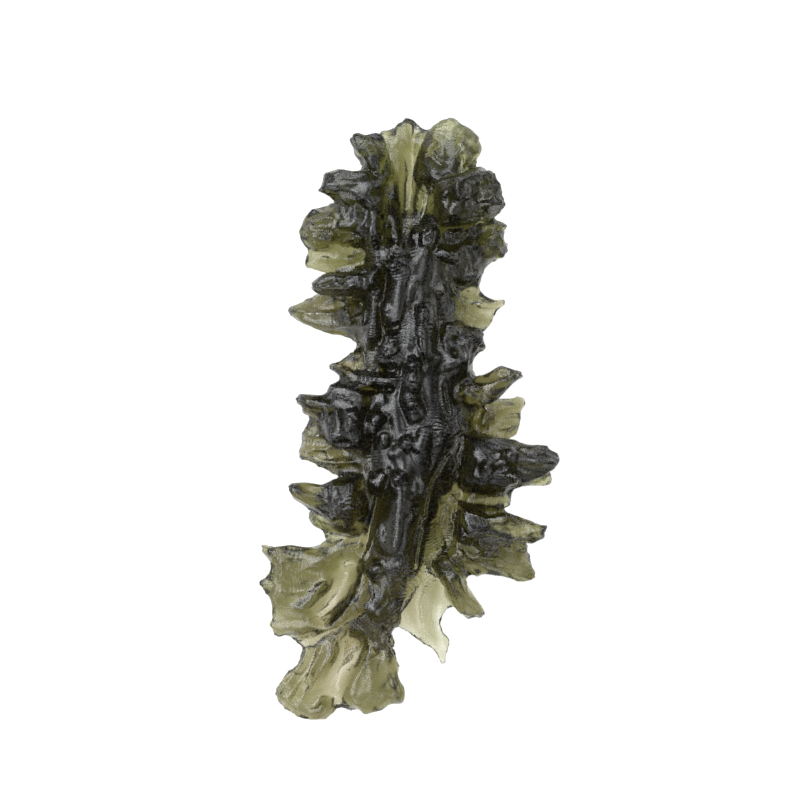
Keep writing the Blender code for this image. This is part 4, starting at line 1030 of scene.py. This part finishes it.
def stroke_profile(plan, half_width, line, knob_share):
    """1 on a stroke's middle line, falling to 0 at its sides and lower at its ends."""
    line = np.asarray(line, dtype=np.float64)
    lengths = np.linalg.norm(np.diff(line, axis=0), axis=1)
    gone, whole = 0.0, lengths.sum()
    best = np.zeros(len(plan))
    for start, end, length in zip(line, line[1:], lengths):
        away, share = from_piece(plan, start, end)
        gap = np.linalg.norm(away, axis=1)
        passed = (gone + share * length) / whole
        ends = np.clip(np.minimum(passed, 1.0 - passed) / END_FADE, END_LEAST, 1.0)
        fade = ends if whole > NEVER_FADED else 1.0
        knobs = 1.0 - knob_share * (1.0 + np.sin(2 * math.pi * passed * whole / KNOB_SPACING)) / 2
        best = np.maximum(best, np.clip(1.0 - (gap / half_width) ** 2, 0.0, 1.0) * fade * knobs)
        gone += length
    return best


def limited(half_width, height):
    """The width and height a stroke really gets."""
    if height < 0:
        return half_width, -min(-height, GROOVE_STEEPNESS * half_width)
    half_width *= RIDGE_WIDENING
    steepest = RIDGE_STEEPNESS * min(1.0, half_width / BROAD_ROD)
    return half_width, min(height, steepest * half_width)


# %% Side-by-side ridges
FLOW_LINE = ((1.2, 17.0), (0.0, 9.0), (0.6, 1.0), (0.2, -7.0), (-2.4, -13.0))
FINGER_REACH = 4.4
FINGER_FADE = 1.2
FINGER_WIDTH = 1.35
FINGER_DEPTH = 0.36
FINGER_SLANT = 0.12
FINGER_SWAY = 0.55
SWAY_PATTERN = (2.7, 7.7, 2.3, 3.3, 71)    # length and shift across, length and shift along, seed
HEIGHT_PATTERN = (3.7, 2.2, 72)            # step from ridge to ridge, length along, seed
FINGER_HEIGHT = (0.65, 0.35)               # usual height, and how much it comes and goes


def spine_share(spots):
    """1 over the spine, fading to 0 on the fins."""
    return 1.0 - eased(gap_to_line(spots[:, :2], FLOW_LINE), FINGER_REACH - FINGER_FADE, FINGER_REACH)


def fingers(spots):
    """Depth below the crests of rounded ridges that lie side by side along the spine."""
    x, y = spots[:, 0], spots[:, 1]
    wide, shift_x, long, shift_y, seed = SWAY_PATTERN
    sway = FINGER_SWAY * wobble(x / wide + shift_x, y / long + shift_y, seed)
    across = (x + sway + FINGER_SLANT * y) / FINGER_WIDTH
    rank = np.floor(across)
    hill = 1.0 - (2.0 * (across - rank) - 1.0) ** 2
    step, length, seed = HEIGHT_PATTERN
    tall = FINGER_HEIGHT[0] + FINGER_HEIGHT[1] * wobble(step * rank, y / length, seed)
    return FINGER_DEPTH * (1.0 - hill * tall) * spine_share(spots)


# %% Draw the strokes
FACING_UP = (0.10, 0.50)
THICK_GLASS = (2.2, 4.2)           # millimetres over which glass starts to count as thick
SHORT_STROKE = 1.6                 # shorter ones ride on the side-by-side ridges
FLANK = 2.0                        # how far a stroke's cover spreads down its flanks
GROOVE_SHARE = 0.62
RIDGE_LIFT = 1.45
RIDGE_SHARE = 0.13
STROKE_SMOOTHING = (2, 0.5)        # rounds, factor


def stroked(spots, normals, thick, strokes):
    """The spots lifted and sunk by all strokes and clefts, and how much strokes cover each."""
    up = eased(normals[:, 2], *FACING_UP)
    raised, sunk, covered, rod = np.zeros((4, len(spots)))
    for half_width, height, line in strokes:
        half_width, height = limited(half_width, height)
        low = np.min(line, axis=0) - half_width
        high = np.max(line, axis=0) + half_width
        inside = np.all((spots[:, :2] > low) & (spots[:, :2] < high), axis=1) & (up > 0)
        near = np.flatnonzero(inside)
        profile = stroke_profile(spots[near, :2], half_width, line, KNOB_SHARE if height > 0 else 0.0)
        cover = np.minimum(1.0, FLANK * profile)
        covered[near] = np.maximum(covered[near], cover)
        if np.linalg.norm(np.subtract(line[0], line[-1])) > SHORT_STROKE:
            rod[near] = np.maximum(rod[near], cover)
        section = profile if height > 0 else profile ** 2
        layer = raised if height > 0 else sunk
        layer[near] = np.maximum(layer[near], section * abs(height) * up[near])
    cleft = fingers(spots) * (1.0 - rod) * eased(thick, *THICK_GLASS)
    sunk = np.maximum(sunk, cleft * np.maximum(up, eased(-normals[:, 2], *FACING_UP)))
    sunk = np.minimum(sunk, GROOVE_SHARE * thick)
    moved = spots.copy()
    moved[:, 2] += np.minimum(RIDGE_LIFT * raised, RIDGE_SHARE * thick) - sunk * np.sign(normals[:, 2])
    return moved, covered


spots, normals = points_of(skin), normals_of(skin)
spots, covered = stroked(spots, normals, thickness_of(skin, spots, normals), STROKES)
put_points(skin, spots)
skin = smoothed(skin, *STROKE_SMOOTHING)
print("points touched by strokes", int((covered > 0).sum()), "of", len(spots))

# %% [markdown]
# ## Scallops
# Etching leaves overlapping scallops with sharp crests between them.  Each one is a shallow dent,
# longer than it is wide, lying along the spine in the middle and outward on the fins.  Where dents
# overlap the deeper one wins, and that alone gives the crests.  The strokes and the smooth rods of
# the spine are largely spared.

# %% Which way the etching ran
FLOW_CORE = 3.3
FLOW_TURN = 1.5
NO_LENGTH = 1e-6


def flow_at(spots):
    """Direction the etching ran: along the spine in the middle, outward beyond it."""
    line = np.asarray(FLOW_LINE)
    best = np.full(len(spots), VERY_FAR)
    out = np.zeros((len(spots), 3))
    for start, end in zip(line, line[1:]):
        run = end - start
        away = from_piece(spots[:, :2], start, end)[0]
        gap = np.linalg.norm(away, axis=1)
        mix = np.clip((gap - FLOW_CORE) / FLOW_TURN, 0.0, 1.0)[:, None]
        way = (1 - mix) * run / np.linalg.norm(run) + mix * away / np.maximum(gap, NO_LENGTH)[:, None]
        nearer = gap < best
        out[nearer, :2] = way[nearer]
        best = np.minimum(best, gap)
    return out


# %% Carve the scallops
# how many, length, width, depth, seed
BROAD_SCALLOPS = (2100, 1.5, 0.62, 0.34, 3)
FINE_SCALLOPS = (5200, 0.55, 0.30, 0.040, 4)
BROAD_SPARES = 0.7                 # how far broad scallops keep off the strokes
FINE_SPARES = 0.3
SPINE_KEPT = 0.93
SIZES = (0.6, 1.3)
WAY_SPREAD = 0.28
SPINE_SCALLOP_LIMIT = 0.70         # larger ones are left out on the top of the spine
SPINE_TOP_FACING = 0.4
SAME_SIDE_FACING = 0.1
DENT_SHARE = 0.28
FULL_DENT_THICKNESS = 3.6
THIN_DENT_SHARE = 0.3


def bowl(offset, way, normal, length, width):
    """A shallow oval dent: 1 in its middle, 0 at its rim."""
    way = way - (way @ normal) * normal
    way /= max(np.linalg.norm(way), NO_LENGTH)
    ahead = offset @ way
    aside = np.sqrt(np.maximum((offset ** 2).sum(axis=1) - ahead ** 2, 0.0))
    return np.clip(1.0 - (ahead / length) ** 2 - (aside / width) ** 2, 0.0, 1.0)


def scalloped(spots, normals, thick, kept, row):
    finder = KDTree(len(spots))
    for place, spot in enumerate(spots):
        finder.insert(spot, place)
    finder.balance()
    count, length, width, depth, seed = row
    dice = np.random.RandomState(seed)
    chosen = dice.choice(len(spots), count, replace=False)
    ways = flow_at(spots[chosen]) + dice.normal(0.0, WAY_SPREAD, (count, 3))
    sunk = np.zeros(len(spots))
    calm = (np.abs(spots[chosen, 0]) < FLOW_CORE) & (normals[chosen, 2] > SPINE_TOP_FACING)
    for pick, way, on_top in zip(chosen, ways, calm):
        size = dice.uniform(*SIZES)
        if on_top and size > SPINE_SCALLOP_LIMIT:
            continue
        near = np.array([found[1] for found in finder.find_range(spots[pick], length * size)])
        dent = bowl(spots[near] - spots[pick], way, normals[pick], length * size, width * size)
        facing = normals[near] @ normals[pick] > SAME_SIDE_FACING
        sunk[near] = np.maximum(sunk[near], depth * size * dent * facing)
    sunk *= (1.0 - kept) * np.clip(thick / FULL_DENT_THICKNESS, THIN_DENT_SHARE, 1.0)
    return spots - normals * np.minimum(sunk, DENT_SHARE * thick)[:, None]


for row, spared in ((BROAD_SCALLOPS, BROAD_SPARES), (FINE_SCALLOPS, FINE_SPARES)):
    spots, normals = points_of(skin), normals_of(skin)
    thick = thickness_of(skin, spots, normals)
    kept = np.maximum(spared * covered, SPINE_KEPT * spine_share(spots) * eased(thick, *THICK_GLASS))
    put_points(skin, scalloped(spots, normals, thick, kept, row))
print("scallops", BROAD_SCALLOPS[0] + FINE_SCALLOPS[0], "at most, on", len(spots), "points")

# %% [markdown]
# ## Size
# The carved stone must fill the same box as the solid it stands for.  Its lowest tips are rubbed to
# one plane, where it lies, by cutting a little off the bottom before it is stretched to the box.

# %% Fit to the box
REST_WEAR = 0.30


def fitted(spots):
    lows = spots.min(axis=0)
    highs = spots.max(axis=0)
    lows[2] += REST_WEAR
    low_box = np.asarray(low_corner, dtype=np.float64) / MM
    high_box = np.asarray(high_corner, dtype=np.float64) / MM
    shares = (spots - lows) / (highs - lows)
    shares[:, 2] = np.maximum(shares[:, 2], 0.0)
    return low_box + shares * (high_box - low_box)


put_points(skin, fitted(points_of(skin)))
print("fitted", np.ptp(points_of(skin), axis=0).round(2))

# %% [markdown]
# ## The skin of the glass
# Ground-etched glass is satin: a fine speckle, thin creases, and tiny ripples across the way the
# etching ran.  They are too fine for the mesh, so they are bump.  Each is a node group with named
# inputs and gives out only a height, a roughness, a share or a colour.

# %% Helpers for groups
def new_group(name, inputs, outputs):
    group = bpy.data.node_groups.new(name, "ShaderNodeTree")
    for title in inputs:
        group.interface.new_socket(title, in_out="INPUT", socket_type="NodeSocketFloat")
    for title, kind in outputs.items():
        group.interface.new_socket(title, in_out="OUTPUT", socket_type="NodeSocket" + kind)
    return group, group.nodes.new("NodeGroupInput").outputs, group.nodes.new("NodeGroupOutput").inputs


def noise_of(tree, vector, scale, detail):
    node = tree.nodes.new("ShaderNodeTexNoise")
    for title, value in (("Vector", vector), ("Scale", scale), ("Detail", detail)):
        fed(tree, node.inputs[title], value)
    return node.outputs["Fac"]


def distance(tree, first, second):
    squares = [maths(tree, "MULTIPLY", side, side) for side in (first, second)]
    return maths(tree, "SQRT", maths(tree, "ADD", *squares))


# %% Etched grain
GRAIN_DETAIL = 2.0
CREASE_DETAIL = 2.5
CREASE_LEVEL = 0.5
CREASE_HALF_WIDTH = 0.035
GRAIN_RANGE = (0.3, 0.7)
GLASS_ROUGHNESS = (0.22, 0.32)


def etched_grain():
    """Fine matt speckle with thin creases; the roughness follows the speckle."""
    group, given, out = new_group("etched grain", ("Grain Scale", "Crease Scale", "Crease Depth"),
                                  {"Height": "Float", "Roughness": "Float"})
    place = coordinates(group)
    grain = noise_of(group, place, given["Grain Scale"], GRAIN_DETAIL)
    crease = noise_of(group, place, given["Crease Scale"], CREASE_DETAIL)
    off = maths(group, "ABSOLUTE", maths(group, "SUBTRACT", crease, CREASE_LEVEL))
    line = ranged(group, off, (0.0, CREASE_HALF_WIDTH), FALLING, True)
    cut = maths(group, "MULTIPLY", line, given["Crease Depth"])
    fed(group, out["Height"], maths(group, "SUBTRACT", grain, cut))
    fed(group, out["Roughness"], ranged(group, grain, GRAIN_RANGE, GLASS_ROUGHNESS))
    return group


grain_group = etched_grain()
print("group", [socket.name for socket in grain_group.interface.items_tree])

# %% Over the spine
SPINE_EDGE = (0.8, 1.1)


def over_spine():
    """1 over the thick middle of the stone, 0 on the crown, the tail and the fins."""
    group, given, out = new_group("over spine", ("Half Width", "Half Length"), {"Share": "Float"})
    place = parts_of(group, coordinates(group))
    wide = maths(group, "DIVIDE", place["X"], given["Half Width"])
    long = maths(group, "DIVIDE", place["Y"], given["Half Length"])
    fed(group, out["Share"], ranged(group, distance(group, wide, long), SPINE_EDGE, FALLING, True))
    return group


middle_group = over_spine()
print("group", [socket.name for socket in middle_group.interface.items_tree])

# %% Flow ripples
DRIFT_SCALE = 420.0
DRIFT_REACH = 0.0022               # metres that noise pushes a ripple about
PATCH_SCALE = 300.0
PATCH_RANGE = (0.44, 0.60)
PLAIN_DETAIL = 1.0


def flow_ripples():
    """Fine ripples across the flow: over the spine they follow its length, outside it they ring it."""
    group, given, out = new_group("flow ripples", ("Spacing", "Spine Half Width", "Spine Half Length"),
                                  {"Height": "Float"})
    spot = coordinates(group)
    place = parts_of(group, spot)
    past_end = maths(group, "SUBTRACT", maths(group, "ABSOLUTE", place["Y"]), given["Spine Half Length"])
    away = distance(group, place["X"], maths(group, "MAXIMUM", past_end, 0.0))
    drift = maths(group, "MULTIPLY", noise_of(group, spot, DRIFT_SCALE, PLAIN_DETAIL), DRIFT_REACH)
    turns = maths(group, "DIVIDE", 2 * math.pi, given["Spacing"])
    waves = [maths(group, "SINE", maths(group, "MULTIPLY", maths(group, "ADD", run, drift), turns))
             for run in (place["Y"], away)]
    outside = maths(group, "GREATER_THAN", away, given["Spine Half Width"])
    patches = ranged(group, noise_of(group, spot, PATCH_SCALE, PLAIN_DETAIL), PATCH_RANGE, RISING, True)
    fed(group, out["Height"], maths(group, "MULTIPLY", blended(group, outside, *waves), patches))
    return group


ripple_group = flow_ripples()
print("group", [socket.name for socket in ripple_group.interface.items_tree])

# %% Glass tint
WARM_TINT = (1.0, 0.945, 0.88, 1.0)
GREEN_TINT = (0.90, 0.98, 0.78, 1.0)
CROWN_RISE = (0.009, 0.016)        # metres along the stone over which the crown turns green
STREAK_DETAIL = 1.5
STREAK_RANGE = (0.35, 0.65)
GREEN_SHARE = (0.0, 0.55)


def glass_tint():
    """Slow drift between a warm and a green cast, as the glass's own streaks give."""
    group, given, out = new_group("glass tint", ("Streak Scale",), {"Color": "Color"})
    place = coordinates(group)
    streak = noise_of(group, place, given["Streak Scale"], STREAK_DETAIL)
    crown = ranged(group, parts_of(group, place)["Y"], CROWN_RISE, GREEN_SHARE, True)
    share = maths(group, "ADD", ranged(group, streak, STREAK_RANGE, GREEN_SHARE), crown)
    fed(group, out["Color"], blended(group, share, WARM_TINT, GREEN_TINT, "RGBA"))
    return group


tint_group = glass_tint()
print("group", [socket.name for socket in tint_group.interface.items_tree])

# %% [markdown]
# ## The glass
# Colour lives in the volume: absorption takes most from blue and nearly the same from red and green,
# so thin rims stay pale khaki and the spine turns nearly black.  A painted colour could not follow
# the thickness.  The skin adds only a warm or green cast.  Ripples are stronger over the spine.

# %% Olive glass
ABSORB_COLOR = (0.530, 0.514, 0.262, 1.0)
ABSORB_DENSITY = 1760.0
GLASS_IOR = 1.49
RIPPLE_STRENGTH = (0.22, 0.70)     # on the fins, over the spine
GRAIN_STRENGTH = (0.20, 0.25)
RIPPLE_DEPTH = 0.03 * MM
GRAIN_DEPTH = 0.015 * MM
GRAIN = {"Grain Scale": 5200.0, "Crease Scale": 620.0, "Crease Depth": 0.25}
RIPPLES = {"Spacing": 0.28 * MM, "Spine Half Width": 3.0 * MM, "Spine Half Length": 12.0 * MM}
MIDDLE_PART = {"Half Width": 4.4 * MM, "Half Length": 13.0 * MM}
STREAKS = {"Streak Scale": 130.0}


def placed(tree, group, values):
    """Put a group into a material with its own values."""
    node = tree.nodes.new("ShaderNodeGroup")
    node.node_tree = group
    for title, value in values.items():
        node.inputs[title].default_value = value
    return node.outputs


def bumped(tree, height, strength, depth, normal=None):
    node = tree.nodes.new("ShaderNodeBump")
    for title, value in (("Height", height), ("Strength", strength), ("Distance", depth), ("Normal", normal)):
        fed(tree, node.inputs[title], value)
    return node.outputs["Normal"]


def olive_glass():
    material = bpy.data.materials.new("olive glass")
    material.use_nodes = True
    tree = material.node_tree
    shader = tree.nodes["Principled BSDF"]
    shader.inputs["IOR"].default_value = GLASS_IOR
    shader.inputs["Transmission Weight"].default_value = 1.0
    grain = placed(tree, grain_group, GRAIN)
    ripples = placed(tree, ripple_group, RIPPLES)
    middle = placed(tree, middle_group, MIDDLE_PART)["Share"]
    ripple_strength = ranged(tree, middle, RISING, RIPPLE_STRENGTH)
    grain_strength = ranged(tree, middle, RISING, GRAIN_STRENGTH)
    rippled = bumped(tree, ripples["Height"], ripple_strength, RIPPLE_DEPTH)
    grained = bumped(tree, grain["Height"], grain_strength, GRAIN_DEPTH, rippled)
    tree.links.new(grained, shader.inputs["Normal"])
    tree.links.new(grain["Roughness"], shader.inputs["Roughness"])
    tree.links.new(placed(tree, tint_group, STREAKS)["Color"], shader.inputs["Base Color"])
    absorb = tree.nodes.new("ShaderNodeVolumeAbsorption")
    absorb.inputs["Color"].default_value = ABSORB_COLOR
    absorb.inputs["Density"].default_value = ABSORB_DENSITY
    tree.links.new(absorb.outputs["Volume"], tree.nodes["Material Output"].inputs["Volume"])
    return material


# %% [markdown]
# ## The finished stone
# The skin has more faces than it needs where it is calm.  A decimate step thins it there and keeps
# them at the crests.  The stone is one piece and stands for the one solid.

# %% Stone
TRIANGLES_KEPT = 192000


def triangles_of(mesh):
    return sum(len(face.vertices) - 2 for face in mesh.polygons)


skin = modified(skin, "DECIMATE", ratio=min(1.0, TRIANGLES_KEPT / triangles_of(skin)))
stone = shown("moldavite_stone", skin)
skin.name = "moldavite_stone"
skin.materials.clear()
skin.materials.append(olive_glass())
skin.polygons.foreach_set("use_smooth", np.ones(len(skin.polygons), dtype=bool))
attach(stone, "root")
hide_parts("moldavite")
print("stone triangles", triangles_of(skin))
